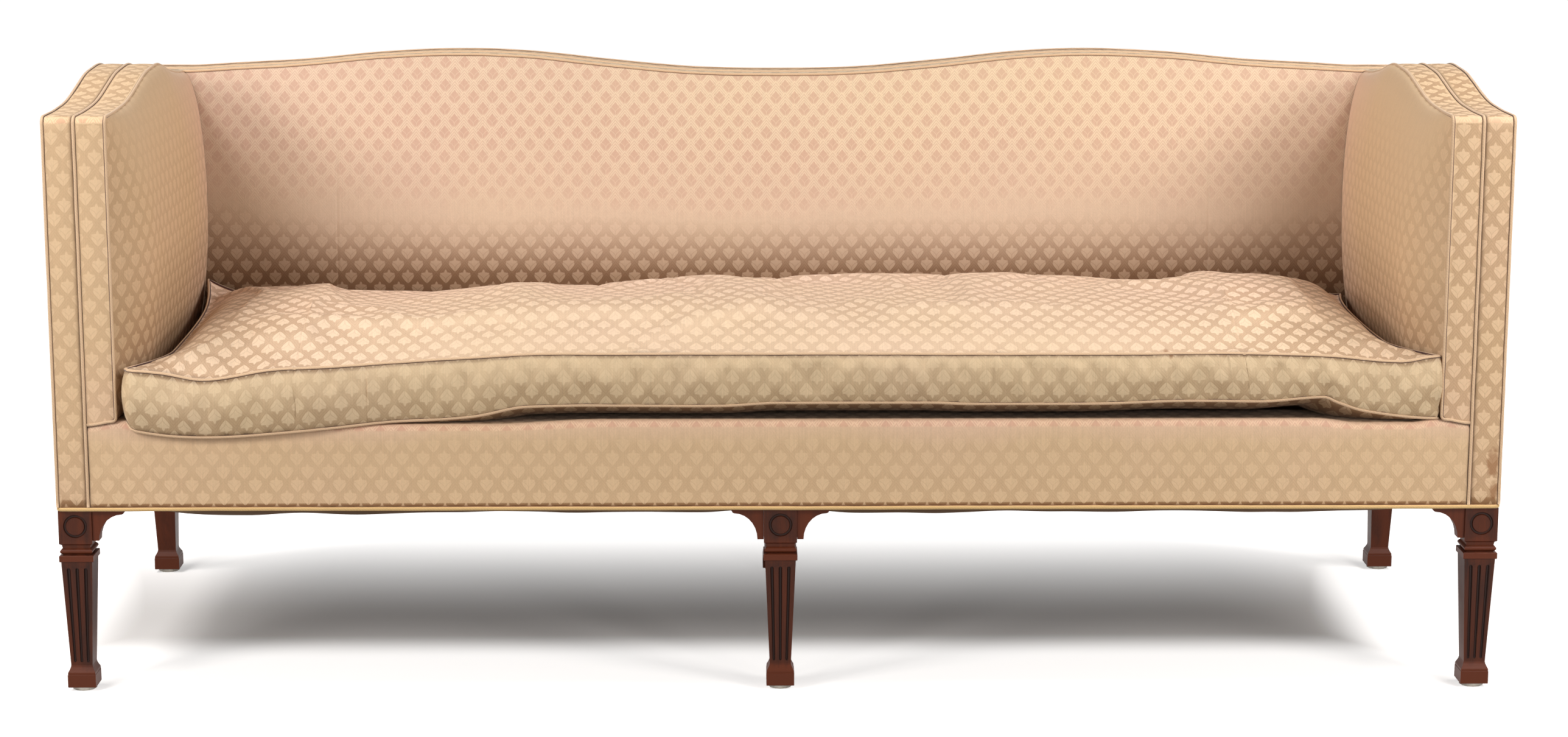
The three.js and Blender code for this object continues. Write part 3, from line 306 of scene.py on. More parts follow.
def add(tree, kind, links=None, **settings):
    """Adds one node with its settings, and feeds its sockets values or other nodes' results."""
    made = tree.nodes.new(kind)
    for name, value in settings.items():
        setattr(made, name, value)
    for socket, value in (links or {}).items():
        if isinstance(value, bpy.types.NodeSocket):
            tree.links.new(value, made.inputs[socket])
        else:
            made.inputs[socket].default_value = value
    return made


def mixed(tree, share, first, second, blend="MIX"):
    """The first colour, with so large a share of the second in it or over it."""
    first, second = [linear(c) if isinstance(c, str) else c for c in (first, second)]
    return add(tree, "ShaderNodeMix", {0: share, 6: first, 7: second},
               data_type="RGBA", blend_type=blend).outputs[2]


def lit_by(tree, colour, light):
    """A colour made so many times as light."""
    return add(tree, "ShaderNodeVectorMath", {0: colour, 3: light}, operation="SCALE").outputs[0]


def axes(tree, vector):
    """The x, y and z of a vector."""
    return add(tree, "ShaderNodeSeparateXYZ", {0: vector}).outputs


def drawn_out(tree, where, scales):
    """Places scaled by so much on each axis, on which speckles are drawn out into streaks."""
    return add(tree, "ShaderNodeMapping", {0: where, 3: scales}).outputs[0]


def speckle(tree, where, scale, detail, distortion=0.0):
    """Smooth noise from 0 to 1 over the places."""
    return add(tree, "ShaderNodeTexNoise", {"Vector": where, "Scale": scale, "Detail": detail,
                                            "Distortion": distortion}).outputs[0]


def mapped(tree, value, start=0.0, end=1.0, first=0.0, last=1.0, kind="LINEAR"):
    """Runs from first to last while the value runs from start to end."""
    return add(tree, "ShaderNodeMapRange", {0: value, 1: start, 2: end, 3: first, 4: last},
               interpolation_type=kind).outputs[0]


def work_out(tree, values, steps):
    """Runs rows of (result, operation, operands) through math nodes; names stand for results."""
    for result, operation, *operands in steps:
        fed = {k: values[o] if isinstance(o, str) else o for k, o in enumerate(operands)}
        if operation == "CLAMP":
            values[result] = add(tree, "ShaderNodeClamp", fed).outputs[0]
        else:
            values[result] = add(tree, "ShaderNodeMath", fed, operation=operation).outputs[0]
    return values


def new_material(name):
    """An empty material, its nodes, and each point's place on the object."""
    material = bpy.data.materials.new(name)
    material.use_nodes = True
    tree = material.node_tree
    tree.nodes.clear()
    return material, tree, add(tree, "ShaderNodeTexCoord").outputs["Object"]


def close_material(tree, surface):
    """Ends a material with its surface."""
    add(tree, "ShaderNodeOutputMaterial", {"Surface": surface})


def close_relief(tree, colour, height, strength, depth, finish):
    """Ends a material with its finish, over a relief of a depth in millimetres."""
    bump = add(tree, "ShaderNodeBump",
               {"Strength": strength, "Distance": depth * MM, "Height": height})
    skin = add(tree, "ShaderNodeBsdfPrincipled",
               {"Base Color": colour, "IOR": 1.5, "Normal": bump.outputs[0]} | finish)
    close_material(tree, skin.outputs[0])


# The woven figure, in millimetres: tulips in a half-drop lattice of diamonds, each with its foot
# in the lower corner of its diamond, and zigzag lines over it. The values are one tulip's.
DIAMOND_ACROSS = 29
DIAMOND_UP = 37
FOOT_UP = 2.5
TULIP_WIDE = 9.2
WIDEST_AT = 11.9
CUP_ROUND = 12.8
TIP_AT = 20.6
SHOULDER_AT = 16.8
SHOULDER_WIDE = 8.0
VEIN_FOOT = 3.4
ZIGZAG_GAP = 4.7
ZIGZAG_WIDE = 2.7
ZIGZAG_INSET = 3.3
ZIGZAG_OUTSET = 1.4
OVER_SHOULDER = 14.5
FIGURE_EDGE = 1.0


def tulip_figure():
    """The figure at each place on the cloth: how much of it is tulip, vein and zigzag line."""
    group = bpy.data.node_groups.new("tulip figure", "ShaderNodeTree")
    group.interface.new_socket("Weave", in_out="INPUT", socket_type="NodeSocketVector")
    for result in ("Tulip", "Vein", "Zigzag"):
        group.interface.new_socket(result, in_out="OUTPUT", socket_type="NodeSocketFloat")
    weave = add(group, "NodeGroupInput").outputs["Weave"]
    across, up = DIAMOND_ACROSS / 2, DIAMOND_UP / 2
    values = dict(zip("uv", axes(group, weave)))
    work_out(group, values, [
        # the place within the nearer of the two sets of diamonds
        ("x", "MULTIPLY", "u", 1 / MM),
        ("z", "MULTIPLY", "v", 1 / MM),
        ("x0", "WRAP", "x", across, -across),
        ("z0", "WRAP", "z", up, -up),
        ("xs", "ADD", "x", across),
        ("zs", "ADD", "z", up),
        ("x1", "WRAP", "xs", across, -across),
        ("z1", "WRAP", "zs", up, -up),
        ("ax0", "ABSOLUTE", "x0"),
        ("az0", "ABSOLUTE", "z0"),
        ("ax1", "ABSOLUTE", "x1"),
        ("part", "MULTIPLY", "az0", across / up),
        ("reach", "ADD", "ax0", "part"),
        ("here", "LESS_THAN", "reach", across),
        ("dx", "SUBTRACT", "ax0", "ax1"),
        ("dz", "SUBTRACT", "z0", "z1"),
        ("side", "MULTIPLY_ADD", "dx", "here", "ax1"),
        ("level", "MULTIPLY_ADD", "dz", "here", "z1"),
        ("h", "ADD", "level", up - FOOT_UP),
        # the cup, cut off by a round tip and two sloping shoulders
        ("c0", "SUBTRACT", "h", WIDEST_AT),
        ("c1", "DIVIDE", "c0", CUP_ROUND),
        ("c2", "ABSOLUTE", "c1"),
        ("c3", "POWER", "c2", 1.8),
        ("c4", "MULTIPLY_ADD", "c3", -TULIP_WIDE, TULIP_WIDE),
        ("c5", "SUBTRACT", "c4", "side"),
        ("c6", "MULTIPLY_ADD", "c5", 1 / FIGURE_EDGE, 0.5),
        ("cup", "CLAMP", "c6"),
        ("t0", "MULTIPLY", "side", "side"),
        ("tip", "MULTIPLY_ADD", "t0", -0.8, TIP_AT),
        ("s0", "MULTIPLY_ADD", "side", -0.16, SHOULDER_AT),
        ("s1", "MULTIPLY_ADD", "side", -3, SHOULDER_AT - 1.2 + 3 * SHOULDER_WIDE),
        ("s2", "MINIMUM", "s0", "s1"),
        ("top", "MAXIMUM", "tip", "s2"),
        ("p0", "SUBTRACT", "top", "h"),
        ("p1", "MULTIPLY_ADD", "p0", 1 / FIGURE_EDGE, 0.5),
        ("petal", "CLAMP", "p1"),
        ("tulip", "MULTIPLY", "cup", "petal"),
        # two veins that part the side petals from the middle one
        ("v0", "SUBTRACT", "h", VEIN_FOOT),
        ("v1", "MAXIMUM", "v0", 0),
        ("v2", "MULTIPLY", "v1", 0.09),
        ("v3", "MULTIPLY", "v2", "v1"),
        ("v4", "SUBTRACT", "side", "v3"),
        ("v5", "ABSOLUTE", "v4"),
        ("v6", "MULTIPLY", "v2", 2),
        ("v7", "MULTIPLY_ADD", "v6", "v6", 1),
        ("v8", "SQRT", "v7"),
        ("v9", "DIVIDE", "v5", "v8"),
        ("v10", "MULTIPLY_ADD", "v9", -1.9, 1.3),
        ("v11", "CLAMP", "v10"),
        ("vein", "MULTIPLY", "v11", "tulip"),
        # zigzag lines beside and over it
        ("slope", "MULTIPLY", "side", up / across),
        ("ridge", "ADD", "level", "slope"),
        ("inward", "ADD", "ridge", ZIGZAG_INSET - up),
        ("fold", "PINGPONG", "inward", ZIGZAG_GAP / 2),
        ("o0", "MULTIPLY_ADD", "side", -up / across, up - ZIGZAG_OUTSET),
        ("o1", "ADD", "level", "o0"),
        ("outer", "ABSOLUTE", "o1"),
        ("nearest", "MINIMUM", "fold", "outer"),
        ("l0", "MULTIPLY_ADD", "nearest", -1.5, 0.5 + 1.5 * ZIGZAG_WIDE / 2),
        ("line", "CLAMP", "l0"),
        ("ground", "SUBTRACT", 1, "tulip"),
        ("w0", "MULTIPLY_ADD", "ridge", 2, -2 * (up - OVER_SHOULDER)),
        ("over", "CLAMP", "w0"),
        ("free", "MAXIMUM", "ground", "over"),
        ("zigzag", "MULTIPLY", "line", "free"),
    ])
    add(group, "NodeGroupOutput",
        {"Tulip": values["tulip"], "Vein": values["vein"], "Zigzag": values["zigzag"]})
    return group


figure = tulip_figure()


# Painted sheen: how the satin's shine is painted into the colour, by how far a face looks up:
# above 0 the tulips are the light part, below 0 the zigzag lines are
LUSTRE = [
    (-0.28, 1.0), (-0.16, 0.85), (-0.06, 0.44), (0.02, 0.26), (0.09, 0.05), (0.16, -0.3),
    (0.28, -0.45), (0.6, -0.42), (0.82, -0.15), (0.90, 0.2), (0.96, 0.5), (1.0, 0.6),
]
SIDE_LUSTRE = 0.62


def lustre_turn(tree, normal):
    """The satin's sheen at a point, painted into the colour by the face's lean. It is weaker on faces
    that look to the side, where the warp is seen end on."""
    lean = axes(tree, normal)
    levels = add(tree, "ShaderNodeValToRGB", {0: mapped(tree, lean[2], -1.0)})
    line = levels.color_ramp
    while len(line.elements) < len(LUSTRE):
        line.elements.new(0.5)
    for element, (at, value) in zip(line.elements, LUSTRE):
        level = (value + 1) / 2
        element.position = (at + 1) / 2
        element.color = (level, level, level, 1)
    return work_out(tree, {"level": levels.outputs[0], "x": lean[0]}, [
        ("side", "ABSOLUTE", "x"),
        ("weaker", "MULTIPLY_ADD", "side", -SIDE_LUSTRE, 1),
        ("both", "MULTIPLY_ADD", "level", 2, -1),
        ("turn", "MULTIPLY", "both", "weaker"),
    ])["turn"]


# What the figure's painted sheen and the painted shade leave of the dye's red, green and blue
PLAIN = (1, 1, 1, 1)
PAINTED_SHEEN_DARK = (0.52, 0.42, 0.34, 1)
PAINTED_SHEEN_ROSE = (0.6, 0.33, 0.35, 1)
PAINTED_SHADE_TINT = (0.42, 0.37, 0.31, 1)
SOIL = "#8f5a30"
MOST_SOIL = 0.6


def blots(tree, where, ragged, marks):
    """How much soil shows at a point, from marks with ragged edges: each has its middle and how
    far it reaches along x, y and z, in metres."""
    total = 0
    for middle, reach in marks:
        aside = add(tree, "ShaderNodeVectorMath", {0: where, 1: middle}, operation="SUBTRACT")
        share = add(tree, "ShaderNodeVectorMath", {0: aside.outputs[0], 1: reach},
                    operation="DIVIDE")
        far = add(tree, "ShaderNodeVectorMath", {0: share.outputs[0]}, operation="LENGTH")
        total = work_out(tree, {"far": far.outputs["Value"], "ragged": ragged, "before": total}, [
            ("near", "MULTIPLY_ADD", "far", -2.2, 1.1),
            ("torn", "MULTIPLY_ADD", "ragged", 2.2, "near"),
            ("mark", "CLAMP", "torn"),
            ("after", "MAXIMUM", "mark", "before"),
        ])["after"]
    return total


def damask(name, rose, tan, marks):
    """Silk and cotton damask: satin tulips on a twill ground. The dye is rose where light has
    not reached, and has faded to tan elsewhere; the yarns leave a fine streak along the warp.
    The cover says at each point how faded and soiled it is, how strongly its painted sheen shows,
    how much painted shade lies on it, and how far its painted sheen is turned: below 0, the tulips
    are light."""
    material, tree, where = new_material(name)
    weave = add(tree, "ShaderNodeUVMap", uv_map="weave").outputs[0]
    normal = add(tree, "ShaderNodeNewGeometry").outputs["Normal"]
    figures = add(tree, "ShaderNodeGroup", {0: weave}, node_tree=figure).outputs
    said = {layer: add(tree, "ShaderNodeAttribute", attribute_name=layer).outputs["Fac"]
            for layer in ("fade", "soil", "satin", "shaded", "turned")}
    warp = drawn_out(tree, weave, (620, 16, 1))
    grains = {"cloudy": speckle(tree, where, 4.5, 4.0), "streak": speckle(tree, warp, 1.0, 3.0),
              "spun": speckle(tree, where, 420.0, 2.0),
              "ragged": speckle(tree, where, 130.0, 4.0)}
    values = work_out(tree, said | grains | {
        "shine": lustre_turn(tree, normal), "tulip": figures["Tulip"],
        "vein": figures["Vein"], "zigzag": figures["Zigzag"],
    }, [
        # the painted sheen's turn: from the face's lean and the satin layer, shifted by the turned
        # layer and by painted shade
        ("turn0", "MULTIPLY", "shine", "satin"),
        ("turn1", "MULTIPLY_ADD", "turned", -0.85, "turn0"),
        ("turn", "MULTIPLY_ADD", "shaded", 0.55, "turn1"),
        ("f0", "MULTIPLY_ADD", "cloudy", 0.7, -0.35),
        ("faded", "ADD", "fade", "f0"),
        # painted sheen: where tulips are light, the ground and the veins are painted dark
        ("for", "MAXIMUM", "turn", 0),
        ("g0", "SUBTRACT", 1, "tulip"),
        ("off", "SUBTRACT", 1, "zigzag"),
        ("gap", "MULTIPLY", "g0", "off"),
        ("g1", "MULTIPLY_ADD", "gap", 0.18, "g0"),
        ("g2", "MULTIPLY_ADD", "vein", 0.55, "g1"),
        ("dark", "MULTIPLY", "g2", "for"),
        # painted sheen: where zigzag lines are light, all the rest is painted rose, the tulips most
        # of all, and the whole is painted a little lighter
        ("a0", "MULTIPLY", "turn", -1),
        ("against", "MAXIMUM", "a0", 0),
        ("z0", "MULTIPLY", "off", 0.7),
        ("z1", "MULTIPLY_ADD", "tulip", 0.3, "z0"),
        ("z2", "MULTIPLY_ADD", "vein", -0.6, "z1"),
        ("rosy", "MULTIPLY", "z2", "against"),
        ("z3", "MULTIPLY", "against", 0.22),
        # streaks along the warp show most where the figure shows least
        ("y0", "MULTIPLY_ADD", "streak", 1.0, -0.5),
        ("y1", "MULTIPLY_ADD", "satin", -0.14, 0.3),
        ("y2", "MULTIPLY", "y0", "y1"),
        ("y3", "MULTIPLY_ADD", "spun", 0.14, -0.07),
        ("y4", "ADD", "y2", "y3"),
        ("y5", "ADD", "y4", "z3"),
        ("light", "ADD", "y5", 1.0),
        ("b0", "MULTIPLY", "tulip", 0.5),
        ("b1", "MULTIPLY_ADD", "vein", -0.5, "b0"),
        ("b2", "MULTIPLY_ADD", "zigzag", 0.35, "b1"),
        ("height", "MULTIPLY_ADD", "spun", 0.5, "b2"),
        # soil lies in blotches
        ("r0", "MULTIPLY_ADD", "ragged", 3.0, -1.9),
        ("r1", "MULTIPLY_ADD", "soil", 2.0, "r0"),
        ("r2", "CLAMP", "r1"),
        ("r3", "MULTIPLY", "soil", "r2"),
    ])
    dye = mixed(tree, values["faded"], rose, tan)
    # painted sheen darkens the ground or washes the rest rose, and painted shade darkens the whole
    shade = mixed(tree, values["dark"], PLAIN, PAINTED_SHEEN_DARK)
    shade = mixed(tree, values["rosy"], shade, PAINTED_SHEEN_ROSE, "MULTIPLY")
    shade = mixed(tree, said["shaded"], shade, PAINTED_SHADE_TINT, "MULTIPLY")
    deep = add(tree, "ShaderNodeVectorMath", {0: dye, 1: shade}, operation="MULTIPLY")
    lit = lit_by(tree, deep.outputs[0], values["light"])
    soiled = work_out(tree, {"soil": values["r3"],
                             "marks": blots(tree, where, values["ragged"], marks)},
                      [("most", "MAXIMUM", "soil", "marks"),
                       ("share", "MULTIPLY", "most", MOST_SOIL)])
    dirty = mixed(tree, soiled["share"], lit, SOIL)
    close_relief(tree, dirty, values["height"], 0.5, 0.35, {
        "Roughness": 0.62, "Specular IOR Level": 0.25, "Sheen Weight": 0.12,
        "Sheen Roughness": 0.45, "Sheen Tint": linear("#fff0dc")})
    return material


def piping_cloth(name, shown, crease):
    """Bias-cut damask over a cotton cord. Its top is faded, and where it turns into the creases on
    both sides it is painted dark as their shade, so a plum line runs along the seam."""
    material, tree, where = new_material(name)
    weave = add(tree, "ShaderNodeUVMap", uv_map="weave").outputs[0]
    values = {"round": axes(tree, weave)[1], "patchy": speckle(tree, where, 30.0, 3.0),
              "spun": speckle(tree, where, 500.0, 2.0)}
    values["bias"] = add(tree, "ShaderNodeTexWave",
                         {"Vector": where, "Scale": 160.0, "Distortion": 2.0},
                         bands_direction="DIAGONAL").outputs[1]
    work_out(tree, values, [
        ("off", "ABSOLUTE", "round"),
        ("patch", "MULTIPLY_ADD", "patchy", 0.05, "off"),
        ("s0", "MULTIPLY_ADD", "spun", 0.2, 0.85),
        ("s1", "MULTIPLY_ADD", "bias", 0.08, "s0"),
        ("b0", "MULTIPLY_ADD", "bias", 0.5, "spun"),
    ])
    # painted shade: past a quarter turn round the cord, into the crease, it takes the dark colour
    dye = mixed(tree, mapped(tree, values["patch"], 0.25, 0.29), shown, crease)
    close_relief(tree, lit_by(tree, dye, values["s1"]), values["b0"], 0.4, 0.3, {
        "Roughness": 0.7, "Specular IOR Level": 0.3, "Sheen Weight": 0.2,
        "Sheen Roughness": 0.5})
    return material


def mahogany(name, dark, light, gloss):
    """Old mahogany under rubbed polish: a red brown with darker pores along the leg, and edges
    that hands and brooms have worn a little paler."""
    material, tree, where = new_material(name)
    values = {
        "lines": speckle(tree, drawn_out(tree, where, (60, 60, 5)), 1.0, 6.0, 0.6),
        "pores": speckle(tree, drawn_out(tree, where, (900, 900, 25)), 1.0, 2.0),
        "patina": speckle(tree, where, 14.0, 3.0),
        "edge": add(tree, "ShaderNodeNewGeometry").outputs["Pointiness"],
    }
    work_out(tree, values, [
        ("m0", "MULTIPLY_ADD", "lines", 1.6, -0.5),
        ("m1", "MULTIPLY_ADD", "pores", 0.5, -0.25),
        ("m2", "ADD", "m0", "m1"),
        ("e0", "MULTIPLY_ADD", "edge", 6.0, -3.1),
        ("m3", "ADD", "m2", "e0"),
        ("rough", "MULTIPLY_ADD", "patina", 0.25, gloss - 0.1),
    ])
    close_relief(tree, mixed(tree, values["m3"], dark, light), values["pores"], 0.25, 0.2,
                 {"Roughness": values["rough"], "Specular IOR Level": 0.2})
    return material


def plain_weave(name, yarn, shadow, thread, slack=0.6):
    """A plain cloth of one yarn: the threads cross at an even spacing, drawn as coarse as shows."""
    material, tree, where = new_material(name)
    turns = math.pi / (thread * MM)
    values = {"blotch": speckle(tree, where, 9.0, 4.0)} | dict(zip("xyz", axes(tree, where)))
    work_out(tree, values, [
        ("yz", "ADD", "y", "z"),
        ("wx", "MULTIPLY", "x", turns),
        ("wy", "MULTIPLY", "yz", turns),
        ("sx", "SINE", "wx"),
        ("sy", "SINE", "wy"),
        ("cross", "MULTIPLY", "sx", "sy"),
        ("h", "MULTIPLY_ADD", "cross", 0.5, 0.5),
        ("m0", "MULTIPLY_ADD", "cross", 0.22, slack),
        ("m1", "MULTIPLY_ADD", "blotch", 0.5, -0.25),
        ("mix", "ADD", "m0", "m1"),
    ])
    close_relief(tree, mixed(tree, values["mix"], shadow, yarn), values["h"], 0.5, 0.4,
                 {"Roughness": 0.9, "Specular IOR Level": 0.2})
    return material


def drawn_steel(name, tone, rough):
    """Steel with the dull brown film that old springs and glides have, brighter where rubbed."""
    material, tree, where = new_material(name)
    film = speckle(tree, where, 90.0, 5.0)
    metal = add(tree, "ShaderNodeBsdfPrincipled", {
        "Base Color": mixed(tree, film, "#3c332c", tone), "Metallic": 1.0,
        "Roughness": mapped(tree, film, first=rough + 0.2, last=rough)})
    close_material(tree, metal.outputs[0])
    return material


# A stain on the cushion, soil at the corner of an arm, and a tear in the other arm's cover
CUSHION_MARKS = [((0.532, -0.340, 0.487), (0.007, 0.011, 0.016)),
                 ((0.537, -0.352, 0.477), (0.004, 0.010, 0.006))]
ARM_MARKS = [((0.987, -0.353, 0.325), (0.010, 0.02, 0.024)),
             ((0.990, -0.353, 0.285), (0.007, 0.02, 0.018)),
             ((-0.874, 0.050, 0.5575), (0.03, 0.0016, 0.021))]
rose_damask = damask("silk damask, rose", "#d7bba2", "#dec5a3", [])
pale_damask = damask("silk damask, pale rose", "#efceb7", "#ebcfa8", CUSHION_MARKS)
tan_damask = damask("silk damask, faded", "#eac3ac", "#e3c199", ARM_MARKS)
# the second colour of each piping is the painted shade of its creases
piping = piping_cloth("piping of faded damask", "#dcb995", "#45261f")
base_piping = piping_cloth("piping of gold damask", "#e0b97f", "#8a5236")
leg_wood = mahogany("polished mahogany", "#220d06", "#5c2a15", 0.42)
frame_timber = mahogany("sawn frame hardwood", "#8f6b42", "#c9a473", 0.8)
webbing = plain_weave("jute webbing", "#a98a5b", "#5d4728", 3.0)
burlap = plain_weave("burlap", "#b7976a", "#6b5232", 2.0)
decking = plain_weave("cotton decking cloth", "#cdb38c", "#97795a", 1.2)
dust_cotton = plain_weave("brown dust cotton", "#7d6046", "#4e3a2a", 1.0)
spring_wire = drawn_steel("spring wire", "#8d8880", 0.35)
nickel = drawn_steel("worn nickel glide", "#b9b4aa", 0.25)


# Frame and legs, which keep their solids and get their timber, cloth and steel

CARRIED = {
    "leg_wood": leg_wood, "frame_wood": frame_timber, "jute_webbing": webbing,
    "burlap": burlap, "spring_steel": spring_wire, "glide_steel": nickel,
}
EASED_EDGE = 0.5 * MM
EASED_ANGLE = math.radians(35)


def dress_frame():
    """Gives each carried solid its material, and the legs their eased edges."""
    for part in frame["record"]["subparts"]:
        piece = frame["nodes"][part["node"]]
        material = CARRIED.get(part["material_slot"])
        if material is None:
            continue
        piece.data.materials.clear()
        piece.data.materials.append(material)
        if part["material_slot"] == "leg_wood":
            ease = piece.modifiers.new("eased edges", "BEVEL")
            ease.width = EASED_EDGE
            ease.segments = 2
            ease.limit_method = "ANGLE"
            ease.angle_limit = EASED_ANGLE


# Stuffed and stretched covers

def stuffed(name, face, face_weave, rims, rim_weaves):
    """A pad: a swelling face, the band round it, and a flat back."""
    cover = Cover()
    grid = cover.place(face)
    cover.quads(grid, face_weave)
    last = cover.join(border(grid), rims, rim_weaves, closed=True)
    cover.cap(last, rim_weaves[-1])
    return cover.build(name)


def stretched(name, face, weave, inside, thickness=LINING, edge=None, rows=(), weaves=()):
    """A sheet over what is inside it, with a band that goes on from one of its edges."""
    cover = Cover()
    grid = cover.place(face)
    cover.quads(grid, weave)
    if edge is not None:
        cover.join(edge(grid), rows, weaves)
    piece = cover.build(name, inside)
    thicken(piece, thickness)
    return piece


BAND_STEPS = 7
BAND_SWELL = 1.2 * MM
CREST_SWELL = 1.3 * MM
BACK_ROOM = 0.8 * MM
DECK_BORDER = 10 * MM
TOUCH = 0.5 * MM


def band_rows(edge, axis, start, seam_at, swell):
    """The rows of a band, on along an axis from its edge to a seam, swollen between the two."""
    rows = []
    for share in np.linspace(0, 1, BAND_STEPS)[1:]:
        row = edge + swell * math.sin(math.pi * share)
        row[:, axis] = start + share * (seam_at - start)
        rows.append(row)
    return rows


BACK_SEAMS = (-0.672, 0.664)
BACK_GRID = (241, 64)
BACK_LUMPS = ((1.6, 0.22, 1), (0.5, 0.05, 2))


def inside_back():
    """The stuffed inside back, with its two sewn seams and the band along the crest."""
    x = np.linspace(-cover_reach, cover_reach, BACK_GRID[0])
    x = with_seams(x, BACK_SEAMS)[:, None]
    t = eased(BACK_GRID[1])[None, :]
    top = crest(x)
    z = seat + GAP + t * (top - seat - GAP)
    y = back_face(z, top)
    face = stack(x, y, z)
    swell = np.sin(math.pi * np.clip(t, 0, 1)) ** 0.5
    soft = lumps(face, BACK_LUMPS) + 1.1 * seam_depth(x, BACK_SEAMS)
    face[..., 1] += MM * soft * swell
    rises = np.hypot(np.diff(y, axis=1), np.diff(z, axis=1))
    climb = np.concatenate([np.zeros_like(x), np.cumsum(rises, axis=1)], 1)
    weave = stack(x, climb)
    edge = border(face)
    on_top = edge[:, 2] > CREST_VALLEY - 2 * MM
    rims = band_rows(edge, 1, edge[:, 1], back_seam, stack(0, 0, CREST_SWELL * on_top))
    weaves = [row[:, :2] for row in [edge] + rims]
    piece = stuffed("inside_back_cover", face, weave, rims, weaves)
    x, y, z = places(piece).T
    # light has bleached it right of the middle, and least of all low down and beside the arms
    side = ramp(np.abs(x), 0.45, 0.85)
    sun = np.exp(-(((x - 0.3) / 0.55) ** 2)) * ramp(z, 0.6, 0.78)
    band = (y > back_edge + MM) & (z > CREST_VALLEY - 3 * MM)
    sewn = seam_depth(x, BACK_SEAMS) * (z < CREST_VALLEY - 5 * MM)
    # painted shade: the arms' shade on both ends, least at the foot, and the cushion's along the
    # foot; the satin's painted sheen is at full strength
    end = 1.2 * np.exp((np.abs(x) - cover_reach) / 0.10) * np.clip((0.78 - z) / 0.18, 0.15, 1)
    foot = ramp(z, 0.60, 0.50) ** 1.5
    paint(piece, satin=1, soil=0.05 * ramp(z, 0.52, 0.46) + 0.14 * sewn,
          fade=np.where(band, 0.9, 0.18 + 0.75 * sun - 0.25 * ramp(z, 0.62, 0.42) - 0.15 * side),
          shaded=np.where(band, 0, 1 - np.clip(1 - end, 0, 1) * (1 - 0.9 * foot)))
    finish_piece(piece, rose_damask, "root", "inside_back")


def arm_grown(y):
    """How far an arm's stuffing has swollen to its full crown, behind its front."""
    return np.sin(np.pi / 2 * ramp(y, front, front + ARM_SHOULDER))


ARM_GRID = (81, 61)
ARM_LUMPS = ((1.4, 0.16, 3), (0.5, 0.04, 5))


def inside_arm(side, way):
    """The stuffed inside of an arm, which ends on the back's face, with its band."""
    round_corner = np.linspace(0, 1, 7) ** 2 * ARM_CORNER
    depths = np.unique(np.concatenate([round_corner, (back_edge - front) * eased(ARM_GRID[0])]))
    y = front + depths[:, None]
    t = eased(ARM_GRID[1])[None, :]
    level = seat + GAP + t * (arm_top(y) - seat - GAP)
    rear_end = back_face(level, CORNER) - BACK_ROOM
    y = front + (y - front) / (back_edge - front) * (rear_end - front)
    foot = seat + GAP + foot_rise(arm_edge, y)
    z = foot + t * (arm_top(y) - foot)
    grown = arm_grown(y)
    out = arm_crown * np.sqrt(np.sin(np.pi * t)) * grown
    face = stack(way * (arm_edge - out), y, z)
    face[..., 0] += MM * lumps(face, ARM_LUMPS, way) * np.sin(np.pi * t) ** 0.5 * grown
    weave = stack(y, z)
    edge = border(face)
    length = run_length(np.concatenate([edge[::-1], edge[-1:]]))[:-1][::-1]
    at_front = edge[:, 1] < front + TOUCH
    at_top = (edge[:, 2] > arm_top(edge[:, 1]) - TOUCH) & ~at_front
    swell = BAND_SWELL * stack(0, -1.0 * at_front, at_top)
    rims = band_rows(edge, 0, edge[:, 0], way * cover_reach, swell)
    for rim in rims:
        fall = foot_rise(arm_edge, edge[:, 1]) - foot_rise(rim[:, 0], edge[:, 1])
        rim[:, 2] -= fall * ramp(edge[:, 2], seat + 30 * MM, seat)
    weaves = [stack(row[:, 0], length) for row in [edge] + rims]
    piece = stuffed(f"inside_arm_cover_{side}", face, weave, rims, weaves)
    x, y, z = places(piece).T
    # the rear and the foot have kept their dye, and are painted in shade as the back and the cushion
    # would shade them; the left arm is painted a little darker, and the satin's painted sheen is
    # weaker halfway up the face
    back = ramp(y, 0.02, 0.24)
    low = ramp(z, 0.60, 0.40)
    band = np.abs(x) > arm_edge + 2 * MM
    up = ramp(z, seat, ARM_FRONT)
    middle = np.clip(4 * up * (1 - up), 0, 1)
    paint(piece, fade=1.05 - 0.75 * back - 0.35 * low, soil=0.2 * back * low,
          satin=np.where(band, 1, 1 - 0.5 * middle),
          turned=np.where(band, -0.1 - 0.1 * way, -0.2),
          shaded=np.where(band, 0, 0.07 - 0.07 * way + 0.4 * low + 0.2 * back * low))
    finish_piece(piece, tan_damask, "root", f"inside_arm_{side}")


ARM_SHEET_GRID = (61, 47)


